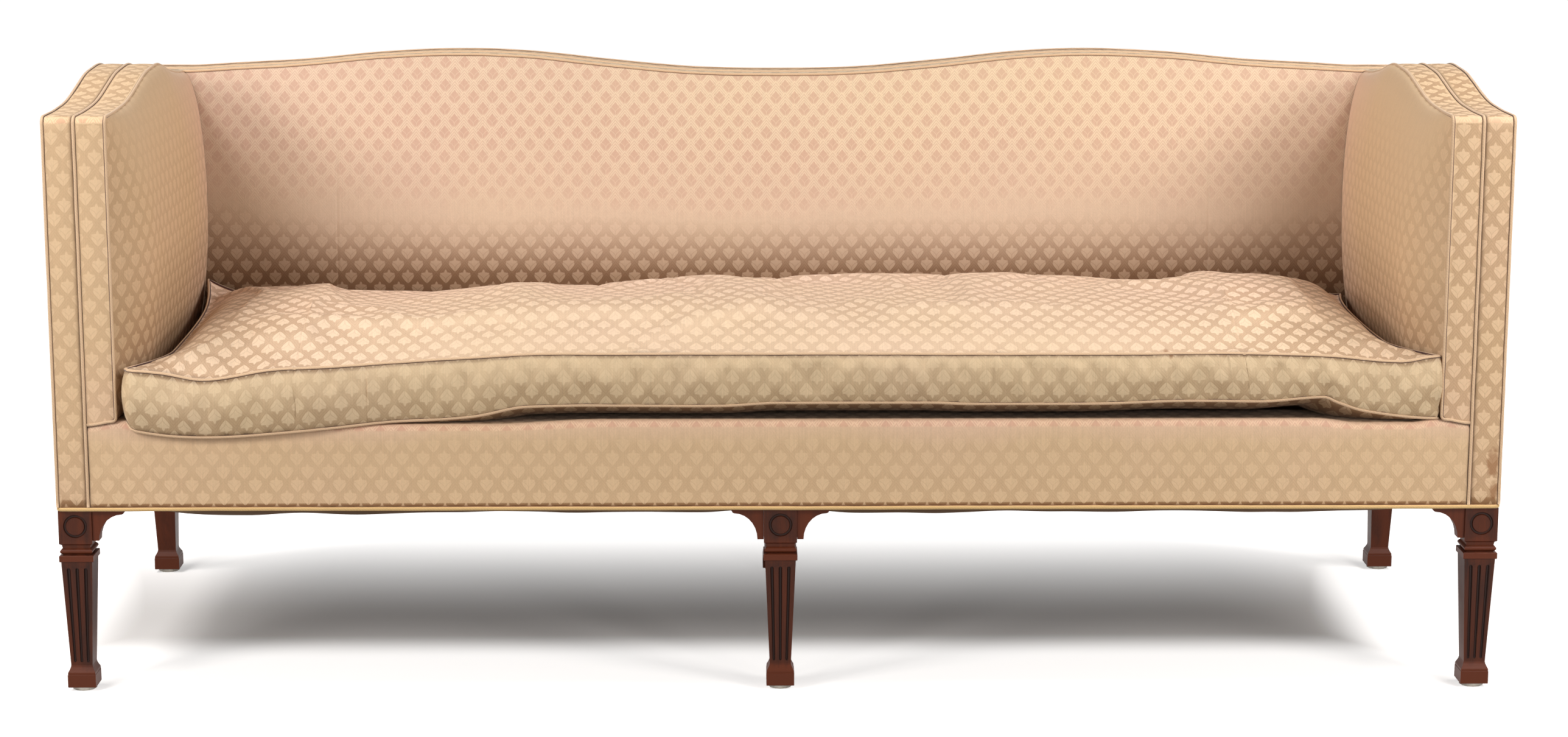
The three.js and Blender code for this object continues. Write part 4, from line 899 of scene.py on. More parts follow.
def outside_arm(side, way):
    """The outer cover of an arm with its band, one sheet over the frame's edge."""
    end = rear - GAP
    round_corner = front + np.linspace(0, 1, 7) ** 2 * ARM_CORNER
    straight = np.linspace(front + ARM_CORNER, end, ARM_SHEET_GRID[0])
    y = np.concatenate([round_corner, straight[1:]])[:, None]
    t = np.linspace(0, 1, ARM_SHEET_GRID[1])[None, :]
    z = cover_foot + t * (arm_top(y) - cover_foot)
    face = stack(way * half, y, z)
    face[..., 0] -= way * MM * np.abs(0.9 * unevenness(face, 0.3, 7 + way)) * np.sin(np.pi * t)

    def front_and_top(grid):
        return np.concatenate([grid[0, :], grid[1:, -1]])

    edge = front_and_top(face)
    length = run_length(edge)
    at_front = edge[:, 1] < front + TOUCH
    swell = BAND_SWELL * stack(0, -1.0 * at_front, ~at_front)
    rows = band_rows(edge, 0, way * half, way * (arm_seam + SEAM), swell)
    weaves = [stack(row[:, 0], length) for row in [edge] + rows]
    piece = stretched(f"outside_arm_cover_{side}", face, stack(y, z), (0, 0, 0.5),
                      edge=front_and_top, rows=rows, weaves=weaves)
    z = places(piece)[:, 2]
    # the satin's painted sheen is at full strength, and turned further towards light tulips on the
    # right arm
    paint(piece, fade=0.95 - 0.1 * ramp(z, 0.5, 0.2), soil=0.45 * ramp(z, 0.33, 0.26), satin=1,
          turned=-0.1 - 0.1 * way)
    finish_piece(piece, tan_damask, "root", f"outside_arm_{side}")


BACK_SHEET_GRID = (201, 41)


def outside_back():
    """The outer back with the rear band of the crest, one sheet."""
    reach = half - LINING
    x = np.linspace(-reach, reach, BACK_SHEET_GRID[0])[:, None]
    t = np.linspace(0, 1, BACK_SHEET_GRID[1])[None, :]
    z = cover_foot + t * (crest(x) - cover_foot)
    face = stack(x, rear, z)
    face[..., 1] -= MM * np.abs(1.2 * unevenness(face, 0.3, 9)) * np.sin(np.pi * t)

    def top_row(grid):
        return grid[:, -1]

    edge = top_row(face)
    rows = band_rows(edge, 1, rear, back_seam + SEAM, np.array((0, 0, BAND_SWELL)))
    piece = stretched("outside_back_cover", face, stack(-x, z), (0, 0, 0.4), edge=top_row,
                      rows=rows, weaves=[row[:, :2] for row in [edge] + rows])
    z = places(piece)[:, 2]
    # the satin's painted sheen is at full strength
    paint(piece, fade=0.75 + 0.2 * ramp(z, 0.78, 0.81), soil=0.45 * ramp(z, 0.33, 0.26), satin=1)
    finish_piece(piece, tan_damask, "root", "outside_back")


LIP = 10 * MM
TUCK = 100 * MM
# The stuffed roll under the cover's upper edge, which has sunk away towards both ends
EDGE_ROLL = 6 * MM
ROLL_DEEP = 24 * MM
ROLL_LEFT = (-0.40, -0.25)
ROLL_RIGHT = (0.80, 0.74)
NEAR_LIP = 30 * MM
FRONT_COLUMNS = 221


def front_cover():
    """The front cover, up over its rolled edge and a hand's width in under the cushion."""
    turn = np.linspace(0, math.pi / 2, 9)[1:]
    section = np.concatenate([
        stack(front, np.linspace(cover_foot, seat - LIP, 22)),
        stack(front + LIP * (1 - np.cos(turn)), seat - LIP + LIP * np.sin(turn)),
        stack(np.linspace(front + LIP, front + TUCK, 14)[1:], seat),
    ])
    x = np.linspace(-cover_reach, cover_reach, FRONT_COLUMNS)[:, None]
    face = stack(x, section[None, :, 0], section[None, :, 1])
    upright = np.clip((seat - LIP - face[..., 2]) / (seat - cover_foot), 0, 1)
    face[..., 1] += MM * (0.9 * unevenness(face, 0.25, 11) + 0.9) * np.sin(np.pi * upright)
    near_lip = ramp(face[..., 2], seat - NEAR_LIP, seat)
    face[..., 2] += foot_rise(face[..., 0], face[..., 1]) * near_lip
    roll = near_lip * ramp(x, *ROLL_LEFT) * ramp(x, *ROLL_RIGHT)
    roll = roll * ramp(face[..., 1], front + LIP + ROLL_DEEP, front + LIP)
    face[..., 2] += EDGE_ROLL * roll * roll * (3 - 2 * roll)
    climb = run_length(np.pad(section, ((0, 0), (1, 0))))[None, :]
    piece = stretched("front_rail_cover", face, stack(x, climb), (0, 0.2, 0.25))
    y, z = places(piece)[:, 1:].T
    # the upper edge, which the cushion covers, has kept its rose; the tuck behind the lip is painted
    # in the cushion's shadow, and the satin's painted sheen is weaker on the upper face and turned
    # near the lip
    paint(piece, fade=1 - 0.5 * ramp(z, 0.352, 0.382), soil=0.3 * ramp(z, 0.30, 0.26),
          satin=1 - 0.45 * ramp(z, 0.30, 0.32), turned=0.2 * ramp(z, 0.350, 0.366),
          shaded=ramp(y, front + 6 * MM, front + 11 * MM))
    finish_piece(piece, tan_damask, "root", "front_cover")


DECK_GRID = (121, 45)


def deck():
    """The stuffed deck behind the front cover, in plain cloth."""
    x = np.linspace(-cover_reach, cover_reach, DECK_GRID[0])[:, None]
    y = np.linspace(front + TUCK + GAP, back_seam - SEAM, DECK_GRID[1])[None, :]
    face = stack(x, y, seat)
    across = (face[..., 1] - front - TUCK) / (back_seam - front - TUCK)
    face[..., 2] -= 2.5 * MM * np.abs(unevenness(face, 0.2, 13)) * np.sin(np.pi * across)
    edge = border(face)
    rims = [stack(edge[:, 0], edge[:, 1], z) for z in (seat - DECK_BORDER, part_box("deck_pad")[0].z)]
    piece = stuffed("deck_stuffing", face, face[..., :2], rims, [edge[:, :2]] * 3)
    finish_piece(piece, decking, "root", "deck_pad")


DUST_THICK = 0.8 * MM
DUST_INSET = 12 * MM
DUST_GRID = (181, 49)
# How far the dust cloth hangs below its tacks along the sofa, in metres
DUST_SAG = [
    (-0.95, 0), (-0.86, 0.055), (-0.76, 0.064), (-0.68, 0.058), (-0.60, 0.063), (-0.50, 0.058),
    (-0.38, 0.056), (-0.28, 0.060), (-0.21, 0.057), (-0.11, 0.060), (-0.05, 0.053), (0, 0.048),
    (0.04, 0.053), (0.10, 0.060), (0.22, 0.062), (0.33, 0.057), (0.45, 0.061), (0.57, 0.057),
    (0.70, 0.062), (0.82, 0.058), (0.90, 0.045), (0.95, 0),
]


def dust_cloth():
    """The thin cloth nailed under the rails, which has come to hang in shallow bellies."""
    low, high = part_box("dust_cover")
    x = np.linspace(low.x + DUST_INSET, high.x - DUST_INSET, DUST_GRID[0])[:, None]
    t = np.linspace(0, 1, DUST_GRID[1])[None, :]
    y = low.y + t * (high.y - low.y)
    nailed = high.z - LINING
    sag = smooth_line(DUST_SAG)(x) * 4 * t * (1 - t)
    face = stack(x, y, nailed - sag)
    face[..., 2] += 2.5 * MM * unevenness(face, 0.07, 15) * np.sin(np.pi * t)
    piece = stretched("dust_cloth", face, face[..., :2], (0, 0, 0.6), DUST_THICK)
    finish_piece(piece, dust_cotton, "root", "dust_cover")


# Piping

PIPING_SIDES = 10
PIPING_STEP = 7 * MM
BASE_STEP = 8 * MM
BEND = 6 * MM


def pipe(name, node, line, outward, radius=CORD, material=piping,
         body="root", closed=False, crease=0.25):
    """A sewn-in cord along a line. Each ring starts on the side that faces out of the seam, so
    that the second weave coordinate says how far round from there a point is: a quarter is
    where the piping's painted crease shade begins, which comes at another turn on each seam."""
    ahead = np.roll(line, -1, 0) - np.roll(line, 1, 0) if closed else np.gradient(line, axis=0)
    ahead = unit(ahead)
    out = unit(outward - (outward * ahead).sum(1, keepdims=True) * ahead)
    side = np.cross(ahead, out)
    length = run_length(line)
    if closed:
        length = np.append(length, length[-1] + np.linalg.norm(line[0] - line[-1]))
    thick = radius * (1 + 0.07 * unevenness(line, 0.035, 21))
    loose = 0.35 * MM * unevenness(line, 0.05, 23)
    line = line + side * loose[:, None]
    angles = np.linspace(0, 2 * math.pi, PIPING_SIDES, endpoint=False)
    rings = np.stack([line + thick[:, None] * (math.cos(a) * out + math.sin(a) * side)
                      for a in angles], 1)
    cover = Cover()
    index = cover.place(rings)
    index = np.concatenate([index, index[:, :1]], 1)
    turn = np.linspace(0, 1, PIPING_SIDES + 1)
    turn = np.where(turn > 0.5, turn - 1, turn) * 0.25 / crease
    if closed:
        index = np.concatenate([index, index[:1]])
    cover.quads(index, stack(length[:, None], turn[None, :]))
    if not closed:
        for ring in (index[0, :-1][::-1], index[-1, :-1]):
            cover.cap(ring, np.zeros((PIPING_SIDES, 2)))
    finish_piece(cover.build(name), material, body, node)


def arm_path(x, foot, end):
    """A line up the front of an arm and over its top, with the direction that faces out."""
    z = np.linspace(foot, ARM_FRONT - ARM_CORNER, int((ARM_FRONT - foot) / PIPING_STEP))
    turn = np.linspace(0, math.pi / 2, 7)[1:-1]
    y = np.linspace(front + ARM_CORNER, end, int((end - front) / PIPING_STEP))
    line = np.concatenate([
        stack(x, front, z),
        stack(x, front + ARM_CORNER * (1 - np.cos(turn)),
              ARM_FRONT - ARM_CORNER * (1 - np.sin(turn))),
        stack(x, y, arm_line(y - front)),
    ])
    ahead = unit(np.gradient(line, axis=0))
    return line, stack(0 * line[:, 0], -ahead[:, 2], ahead[:, 1])


def crest_path(y, reach):
    """A line along the crest, from right to left, with the direction that faces out."""
    x = np.linspace(reach, -reach, int(2 * reach / PIPING_STEP))
    line = stack(x, y, crest(x))
    ahead = unit(np.gradient(line, axis=0))
    return line, stack(ahead[:, 2], 0 * x, -ahead[:, 0])


def bend(before, corner, after):
    """Points round a corner between two runs."""
    a = corner + unit(before - corner) * BEND
    b = corner + unit(after - corner) * BEND
    t = np.linspace(0, 1, 5)[:, None]
    return (1 - t) ** 2 * a + 2 * t * (1 - t) * corner + t**2 * b


def mirrored(line):
    """A line on the other side of the sofa, run the other way."""
    return (line * (-1, 1, 1))[::-1]


def body_piping():
    """The inner and middle cords, over both arms and the crest, the outer cords, and the base's."""
    x_axis, y_axis, z_axis = np.eye(3)
    runs = {
        "inner": (arm_edge, back_edge, seat, -0.9 * x_axis, -y_axis, 0.58, 0.19),
        "middle": (arm_seam, back_seam, cover_foot - GAP, 0 * x_axis, -0.6 * y_axis, 0.8, 0.19),
    }
    for name, (x, y, foot, towards, facing, upward, crease) in runs.items():
        arm, arm_out = arm_path(x, foot, y - BEND)
        if name == "inner":
            foot_x = np.linspace(arm_seam - CORD, x + BEND, 6)
            start = stack(foot_x, front, foot + foot_rise(foot_x, front))
            low = np.array((x, front, foot + FOOT_RISE))
            turn = bend(start[-1], low, low + z_axis)
            above = arm[:, 2] > low[2] + BEND
            above |= arm[:, 1] > front + ARM_CORNER / 2
            arm = np.concatenate([start[:-1], turn, arm[above]])
            arm_out = np.concatenate([np.tile((0, -1.0, 0.45), (5, 1)) - towards,
                                      np.tile((0, -1.0, 0), (5, 1)), arm_out[above]])
        over, over_out = crest_path(y, x - BEND)
        corner = bend(arm[-1], np.array((x, y, CORNER)), over[0])
        corner_out = np.tile((0, 0, 1.0), (len(corner), 1))
        line = np.concatenate([arm, corner[1:-1], over, mirrored(corner)[1:-1], mirrored(arm)])
        out = np.concatenate([arm_out + towards, corner_out[1:-1] + (towards + facing) / 2,
                              upward * over_out + facing, corner_out[1:-1] + (facing - towards) / 2,
                              mirrored(arm_out + towards)])
        pipe(f"{name}_piping", f"{name}_welt", line, out, crease=crease)

    for side, way in (("left", -1), ("right", 1)):
        line, out = arm_path(way * half, cover_foot - GAP, rear - CORD)
        pipe(f"arm_piping_{side}", f"arm_outer_welt_{side}", line, out + way * x_axis,
             crease=0.28)

    rise = np.linspace(cover_foot - GAP, CORNER - BEND, 70)
    heel = stack(half, rear, rise)
    over, over_out = crest_path(rear, half - BEND)
    corner = bend(heel[-1], np.array((half, rear, CORNER)), over[0])
    line = np.concatenate([heel, corner[1:-1], over, mirrored(corner)[1:-1], mirrored(heel)])
    heel_out = np.tile((1.0, 1.0, 0), (len(heel), 1))
    corner_out = np.tile((0.7, 1.0, 0.7), (len(corner) - 2, 1))
    out = np.concatenate([heel_out, corner_out, over_out + y_axis, mirrored(corner_out),
                          mirrored(heel_out)])
    pipe("back_piping", "back_outer_welt", line, out, crease=0.31)

    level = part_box("base_welt")[0].z + BASE_CORD
    loop = []
    corners = stack((half, half, -half, -half), (front, rear, rear, front), level)
    for k, corner in enumerate(corners):
        before, after = corners[k - 1], corners[(k + 1) % 4]
        loop.append(bend(before, corner, after))
        a, b = loop[-1][-1], after + unit(corner - after) * BEND
        count = int(np.linalg.norm(b - a) / BASE_STEP)
        loop.append(a + (b - a) * np.linspace(0, 1, count)[1:-1, None])
    line = np.concatenate(loop)
    line[:, 2] += 0.5 * MM * unevenness(line, 0.2, 25)
    out = unit(stack(np.sign(line[:, 0]) * (np.abs(line[:, 0]) > half - BEND),
                     np.where(line[:, 1] > rear - BEND, 1,
                              np.where(line[:, 1] < front + BEND, -1, 0)), -0.35))
    pipe("base_piping", "base_welt", line, out, BASE_CORD, base_piping,
         closed=True)


# The loose seat cushion. The seams' heights along the front are those that it has sunk to.

CUSHION_TOP_FRONT = [
    (-0.902, 0.459), (-0.848, 0.455), (-0.791, 0.446), (-0.760, 0.449), (-0.694, 0.460),
    (-0.617, 0.463), (-0.540, 0.467), (-0.424, 0.474), (-0.321, 0.479), (-0.08, 0.479),
    (0.467, 0.478), (0.613, 0.479), (0.758, 0.475), (0.855, 0.467), (0.905, 0.474),
]
CUSHION_FOOT_FRONT = [
    (-0.902, 0.388), (-0.889, 0.376), (-0.793, 0.366), (-0.619, 0.378), (-0.542, 0.385),
    (-0.426, 0.392), (-0.348, 0.406), (-0.08, 0.407), (0, 0.411), (0.2, 0.411), (0.27, 0.409),
    (0.42, 0.409), (0.566, 0.413), (0.663, 0.412), (0.75, 0.418), (0.77, 0.410),
    (0.809, 0.398), (0.905, 0.388),
]
# How far the crown stands over or under its even height at the back, in millimetres
CUSHION_WAVES = [
    (-0.87, -6), (-0.83, -5), (-0.73, 2.5), (-0.64, 0), (-0.54, -4), (-0.40, 2.5), (-0.29, -3),
    (-0.04, 3.5), (0.2, 1), (0.42, 3), (0.6, 0), (0.75, 2), (0.87, -5),
]
CUSHION_COLUMNS = 280
CUSHION_ROWS = 60
TOP_SEAMS = (-0.665, 0.638)
BOXING_SEAMS = (-0.568, 0.2905, 0.616)
BOXING_ROWS = 11
EAR = 19 * MM
EAR_RISE = 1.3
TOP_LUMPS = ((3.0, 0.17, 31), (1.6, 0.055, 33))
CUSHION_ROOM = 8 * MM
CUSHION_OVER_ARM = 9 * MM
CUSHION_OFF_MIDDLE = 5 * MM
OVERHANG = 12 * MM
TOP_REAR = 474 * MM
FOOT_REAR = 400 * MM
CROWN = 58 * MM
BELLY = 20 * MM
PUFF = 7 * MM
CLOTH_GROWTH = 0.03
FILLING_PRESSURE = 1.5
SETTLING_FRAMES = 20
TOP_MAY_MOVE = 8 * MM
BOXING_MAY_MOVE = 4 * MM


def settled(piece, sewn, reach):
    """Lets the cloth settle over its filling, a little too wide for it, so that it puckers along
    its seams. No point moves further than it may reach."""
    before = places(piece)
    held = piece.vertex_groups.new(name="sewn")
    held.add([int(k) for k in sewn], 1, "REPLACE")
    step = piece.modifiers.new("settling", "CLOTH")
    cloth = step.settings
    cloth.vertex_group_mass = "sewn"
    cloth.quality = 4
    cloth.tension_stiffness = cloth.compression_stiffness = 8
    cloth.shear_stiffness = 3
    cloth.bending_stiffness = 0.05
    cloth.use_pressure = True
    cloth.uniform_pressure_force = FILLING_PRESSURE
    cloth.shrink_min = -CLOTH_GROWTH
    cloth.effector_weights.gravity = 0
    step.point_cache.frame_end = SETTLING_FRAMES
    for moment in range(1, SETTLING_FRAMES + 1):
        bpy.context.scene.frame_set(moment)
    apply_steps(piece)
    bpy.context.scene.frame_set(1)
    move = places(piece) - before
    far = np.linalg.norm(move, axis=1) / reach
    after = before + move / np.sqrt(1 + far**2)[:, None]
    piece.data.vertices.foreach_set("co", after.astype("f").ravel())
    piece.data.update()


def cushion():
    """The loose cushion: two seam lines, a crowned top, a foot that lies on the seat and hangs
    over its edge, and a puffed boxing between them. Its cloth then settles."""
    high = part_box("seat_cushion")[1]
    half_wide = high.x - CUSHION_ROOM
    rear_line = high.y - CUSHION_ROOM
    seam_shares = (np.array(TOP_SEAMS + BOXING_SEAMS) / half_wide + 1) / 2
    u = np.unique(np.concatenate([np.linspace(0, 1, CUSHION_COLUMNS)] + [
        share + MM * np.array((-1.6, -0.6, 0, 0.6, 1.6)) for share in seam_shares]))
    v = np.linspace(0, 1, CUSHION_ROWS)

    def side_reach(y):
        return half_wide - arm_crown * arm_grown(y)

    def seam(front_heights, rear_height, ear):
        """The four sides of a seam line: front, rear, left and right."""
        xf = (half_wide + CUSHION_OVER_ARM) * (2 * u - 1) + CUSHION_OFF_MIDDLE
        hang = ramp(smooth_line(CUSHION_FOOT_FRONT)(xf), seat + 4 * MM, seat - 6 * MM)
        yf = front + 3 * MM - OVERHANG * hang
        front_run = stack(xf, yf, smooth_line(front_heights)(xf))
        corner_reach = side_reach(rear_line) + ear
        xr = corner_reach * (2 * u - 1)
        raised = ramp(-xr / corner_reach, 0.9, 1) ** 2
        rear_run = stack(xr, rear_line, rear_height + EAR_RISE * ear * raised)
        runs = []
        for way, k in ((-1, 0), (1, -1)):
            y = front_run[k, 1] + v * (rear_line - front_run[k, 1])
            x = way * side_reach(y)
            x = x + (front_run[k, 0] - x[0]) * (1 - v) ** 6 + (rear_run[k, 0] - x[-1]) * v**6
            z = front_run[k, 2] + (rear_height - front_run[k, 2]) * v
            z = z + (rear_run[k, 2] - rear_height) * v**8
            runs.append(stack(x, y, z))
        return front_run, rear_run, runs[0], runs[1]

    def filled(sides):
        """The even surface between the four sides of a seam line."""
        fr, re, le, ri = sides
        a, b = u[:, None, None], v[None, :, None]
        flat = (1 - b) * fr[:, None] + b * re[:, None] + (1 - a) * le[None] + a * ri[None]
        flat -= (1 - a) * (1 - b) * fr[0] + a * (1 - b) * fr[-1]
        flat -= (1 - a) * b * re[0] + a * b * re[-1]
        return flat

    def crown(grid, height, front_roll, rear_roll, side_roll):
        """Rises from the seams to its full height within the widths of its rolls."""
        wide = np.minimum(grid[..., 0] - grid[:1, :, 0], grid[-1:, :, 0] - grid[..., 0])
        rolls = ((grid[..., 1] - grid[:, :1, 1], front_roll),
                 (grid[:, -1:, 1] - grid[..., 1], rear_roll), (wide, side_roll))
        for reach, roll in rolls:
            height = height * (1 - (1 - ramp(reach, 0, roll)) ** 2.4)
        return height

    top = filled(seam(CUSHION_TOP_FRONT, TOP_REAR, EAR))
    foot = filled(seam(CUSHION_FOOT_FRONT, FOOT_REAR, 0))
    for share, x in zip(seam_shares, TOP_SEAMS):
        column = top[np.argmin(np.abs(u - share)), :, 0]
        top[..., 0] += (x - column) * np.exp(-(((u - share) / 0.06) ** 2))[:, None]
    top[..., 2] += crown(top, CROWN, 240 * MM, 200 * MM, 75 * MM)
    back = ramp(top[..., 1], front + 0.15, front + 0.35)
    waves = smooth_line(CUSHION_WAVES)(top[..., 0]) * back
    soft = (lumps(top, TOP_LUMPS) + waves) * crown(top, 1, 40 * MM, 60 * MM, 40 * MM)
    top[..., 2] += MM * (soft - 1.2 * seam_depth(top[..., 0], TOP_SEAMS))
    foot[..., 2] -= crown(foot, BELLY, 60 * MM, 60 * MM, 60 * MM)
    over = np.clip(LIP - (foot[..., 1] - front), 0, LIP)
    rest = seat + 2 * GAP - LIP + np.sqrt(LIP**2 - over**2) + foot_rise(foot[..., 0], foot[..., 1])
    foot[..., 2] = np.where(foot[..., 1] > front, np.maximum(foot[..., 2], rest), foot[..., 2])

    cover = Cover()
    top_index, foot_index = cover.place(top), cover.place(foot)
    cover.quads(top_index, top[..., :2] * (1, -1))
    cover.quads(foot_index, foot[..., :2])
    high_ring, low_ring = border(top), border(foot)
    length = run_length(np.concatenate([high_ring, high_ring[:1]]))[:-1]
    ways = ((0, -1, 0), (1, 0, 0), (0, 1, 0), (-1, 0, 0))
    counts = (len(u), len(v) - 1, len(u) - 1, len(v) - 2)
    out = np.concatenate([np.tile(way, (count, 1)) for way, count in zip(ways, counts)]) * 1.0
    out = unit(sum(np.roll(out, k, 0) for k in (-2, -1, 0, 1, 2)))
    rows, weaves = [border(top_index)], [stack(length, 0 * length)]
    tall = np.linalg.norm(high_ring - low_ring, axis=1)
    at_front = out[:, 1] < -0.9
    for share in np.linspace(0, 1, BOXING_ROWS)[1:-1]:
        ring = high_ring + share * (low_ring - high_ring)
        puff = PUFF * np.sin(np.pi * share) ** 0.7
        soft = 2.0 * unevenness(ring * (1, 1, 0.6), 0.045, 35)
        soft += 2.5 * unevenness(ring, 0.12, 37)
        soft -= 1.4 * seam_depth(ring[:, 0], BOXING_SEAMS) * at_front
        ring = ring + out * (puff + MM * soft * math.sin(math.pi * share))[:, None]
        rows.append(cover.place(ring))
        weaves.append(stack(length, share * tall))
    rows.append(border(foot_index))
    weaves.append(stack(length, tall))
    cover.quads(np.stack(rows, 1), np.stack(weaves, 1), closed=True)
    piece = cover.build("seat_cushion_cover")
    on_boxing = np.zeros(len(piece.data.vertices), bool)
    on_boxing[foot_index.max() + 1:] = True
    sewn = np.concatenate([border(top_index), foot_index.ravel()])
    settled(piece, sewn, np.where(on_boxing, BOXING_MAY_MOVE, TOP_MAY_MOVE))
    x, y, z = places(piece).T
    on_boxing[border(foot_index)] = True
    front_boxing = on_boxing & (y < front + 12 * MM)
    beside_seams = np.where(on_boxing, seam_depth(x, BOXING_SEAMS), seam_depth(x, TOP_SEAMS))
    below = np.zeros(len(x))
    below[foot_index[1:-1, 1:-1].ravel()] = 1
    # its front has faded most; the painted sheen shows the figure most at both ends and least near
    # the front edge, and the boxing and the underside are painted in shade
    near = np.clip(1.15 - (y - front) / 0.14, 0, 1) * ramp(np.abs(x), 0.72, 0.47)
    ends = ramp(np.abs(x), 0.4, 0.75)
    paint(piece, satin=0.25, soil=0.35 * beside_seams, shaded=np.where(on_boxing, 0.26, below),
          fade=np.where(front_boxing, 1, 0.55 - 0.45 * ramp(y, -0.25, 0.05)),
          turned=np.where(on_boxing, -0.1 - 0.1 * ends, 0.25 * near - 0.45 - 0.2 * ends))
    finish_piece(piece, pale_damask, "seat_cushion", "seat_cushion")

    for name, ring, tilt, crease in (("upper", high_ring, 1, 0.19), ("lower", low_ring, -1, 0.26)):
        pipe(f"cushion_piping_{name}", f"cushion_{name}_welt", ring, unit(out + (0, 0, tilt)),
             body="seat_cushion", closed=True, crease=crease)


# Camera, lights and floor

PHOTO_WIDE = 2576
FOCAL_PIXELS = 5170
CAMERA_PLACE = (-0.057, -4.600, 1.261)
LOOK_DOWN = math.radians(10.69)
LOOK_ASIDE = math.radians(-0.83)
LOOK_ROLL = math.radians(0.07)


def set_camera():
    """The photograph's camera, fitted to the legs, the piping and the crest."""
    lens = bpy.data.cameras.new("camera")
    lens.sensor_width = 36
    lens.lens = FOCAL_PIXELS / PHOTO_WIDE * lens.sensor_width
    camera = bpy.data.objects.new("camera", lens)
    bpy.context.scene.collection.objects.link(camera)
    camera.matrix_world = (
        Matrix.Translation(CAMERA_PLACE)
        @ Matrix.Rotation(LOOK_ASIDE, 4, "Z")
        @ Matrix.Rotation(math.pi / 2 - LOOK_DOWN, 4, "X")
        @ Matrix.Rotation(LOOK_ROLL, 4, "Z")
    )
    bpy.context.scene.camera = camera


SOFTBOX_WIDE = 0.7
SOFTBOXES = [
    ("left_high_softbox", (-2.0, -0.5, 2.6), 31), ("right_high_softbox", (2.0, -0.5, 2.6), 33),
    ("left_low_softbox", (-2.0, -1.7, 1.5), 26), ("right_low_softbox", (2.0, -1.7, 1.5), 26),
    ("left_front_softbox", (-2.0, -3.4, 1.2), 15), ("right_front_softbox", (2.0, -3.4, 1.2), 16),
]


def add_softbox(name, place, watts):
    """A square softbox beside the sofa, turned towards its seat."""
    light = bpy.data.lights.new(name, "AREA")
    light.shape = "SQUARE"
    light.size = SOFTBOX_WIDE
    light.energy = watts
    lamp = bpy.data.objects.new(name, light)
    lamp.location = place
    toward = Vector(place) - Vector((0.13 * place[0], 0.1, 0.5))
    lamp.rotation_euler = toward.to_track_quat("Z", "Y").to_euler()
    lamp.visible_camera = False
    bpy.context.scene.collection.objects.link(lamp)


def seen_paths(tree):
    """1 for rays that show a surface to the eye, straight or in a gloss; 0 for light's bounces."""
    path = add(tree, "ShaderNodeLightPath").outputs
    return work_out(tree, {"eye": path["Is Camera Ray"], "gloss": path["Is Glossy Ray"],
                           "glass": path["Is Transmission Ray"]},
                    [("two", "MAXIMUM", "eye", "gloss"), ("all", "MAXIMUM", "two", "glass")])["all"]


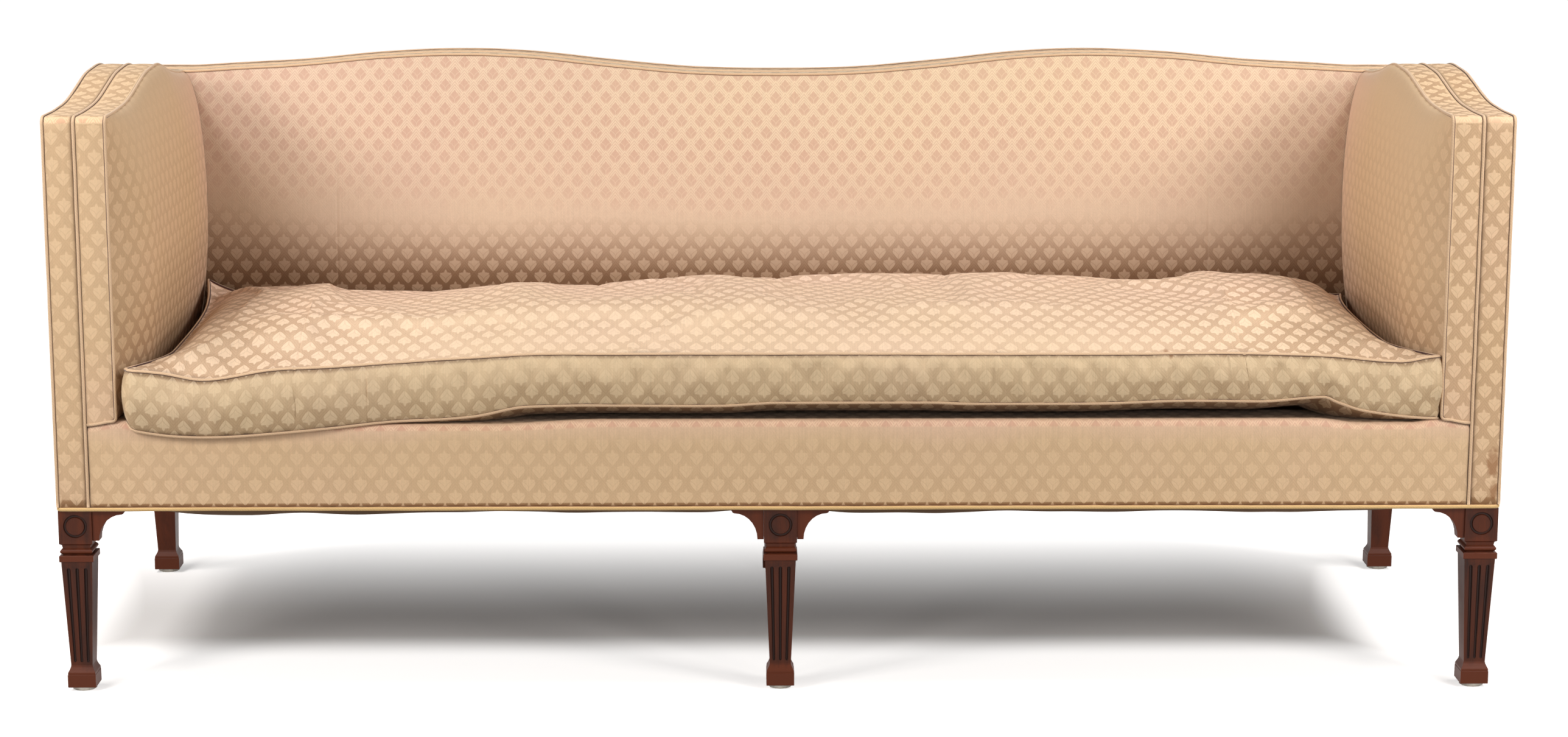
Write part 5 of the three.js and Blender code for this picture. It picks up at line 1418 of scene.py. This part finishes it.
def white_paper(name):
    """Seamless white paper. It shows as white, keeps the shadow under the sofa, and throws back
    less light than it shows. A painted glow by place shapes that shadow: it is deepest near the
    front and fades out to the rear."""
    material, tree, where = new_material(name)
    seen = seen_paths(tree)
    tone = mixed(tree, seen, "#9a9894", "#f7f2ee")
    values = work_out(tree, dict(zip("xyz", axes(tree, where))), [
        ("x0", "ADD", "x", 0.075),
        ("across", "ABSOLUTE", "x0"),
        ("deep", "ABSOLUTE", "y"),
        ("r0", "MULTIPLY_ADD", "y", 2.0, -0.04),
        ("r1", "CLAMP", "r0"),
        ("r2", "POWER", "r1", 1.8),
        ("rear", "MULTIPLY", "r2", 0.85),
        ("f0", "SUBTRACT", "across", 1.1),
        ("f1", "MAXIMUM", "f0", 0),
        ("f2", "SUBTRACT", "deep", 0.36),
        ("f3", "MAXIMUM", "f2", 0),
        ("f4", "POWER", "f1", 2),
        ("f5", "MULTIPLY_ADD", "f3", "f3", "f4"),
        ("beyond", "SQRT", "f5"),
    ])
    # painted light: the paper's own glow rises towards the rear, ahead of the front legs, past both
    # ends, and away from the sofa
    for result, source, start, end, most in (("front", "y", -0.05, -0.18, 0.52),
                                             ("side", "across", 0.88, 0.98, 0.5),
                                             ("far", "beyond", 0.25, 0.8, 0.89)):
        values[result] = mapped(tree, values[source], start, end, 0, most, "SMOOTHSTEP")
    work_out(tree, values, [
        ("m0", "MAXIMUM", "rear", "front"),
        ("m1", "MAXIMUM", "side", "m0"),
        ("m2", "MAXIMUM", "far", "m1"),
        ("glow", "ADD", "m2", 0.075),
    ])
    shown = work_out(tree, {"seen": seen, "glow": values["glow"]},
                     [("shown", "MULTIPLY", "seen", "glow")])["shown"]
    paper = add(tree, "ShaderNodeBsdfDiffuse", {"Color": tone})
    lit = add(tree, "ShaderNodeEmission", {"Color": (1, 1, 1, 1), "Strength": shown})
    both = add(tree, "ShaderNodeAddShader", {0: paper.outputs[0], 1: lit.outputs[0]})
    close_material(tree, both.outputs[0])
    return material


AIR_LIGHT = 0.10
FLOOR_REACH = 40


def set_studio():
    """Faint air light that the eye sees as white, the paper, and six softboxes."""
    world = bpy.data.worlds.new("studio air")
    world.use_nodes = True
    tree = world.node_tree
    tree.nodes.clear()
    air = add(tree, "ShaderNodeBackground", {0: linear("#fffaf4"), 1: AIR_LIGHT})
    white = add(tree, "ShaderNodeBackground", {0: (1, 1, 1, 1), 1: 1.0})
    mixed = add(tree, "ShaderNodeMixShader", {0: seen_paths(tree), 1: air.outputs[0],
                                              2: white.outputs[0]})
    add(tree, "ShaderNodeOutputWorld", {0: mixed.outputs[0]})
    bpy.context.scene.world = world

    floor = Cover()
    ends = FLOOR_REACH * np.array((-1, 1))
    corners = stack(ends[:, None], ends[None, :], 0)
    floor.quads(floor.place(corners), corners[..., :2])
    sheet = floor.build("floor", (0, 0, -1))
    sheet.data.materials.append(white_paper("studio paper"))

    for name, place, watts in SOFTBOXES:
        add_softbox(name, place, watts)
    bpy.context.scene.view_settings.view_transform = "Standard"


set_camera()
dress_frame()
inside_back()
outside_back()
for side, way in (("left", -1), ("right", 1)):
    inside_arm(side, way)
    outside_arm(side, way)
front_cover()
deck()
dust_cloth()
body_piping()
cushion()
set_studio()
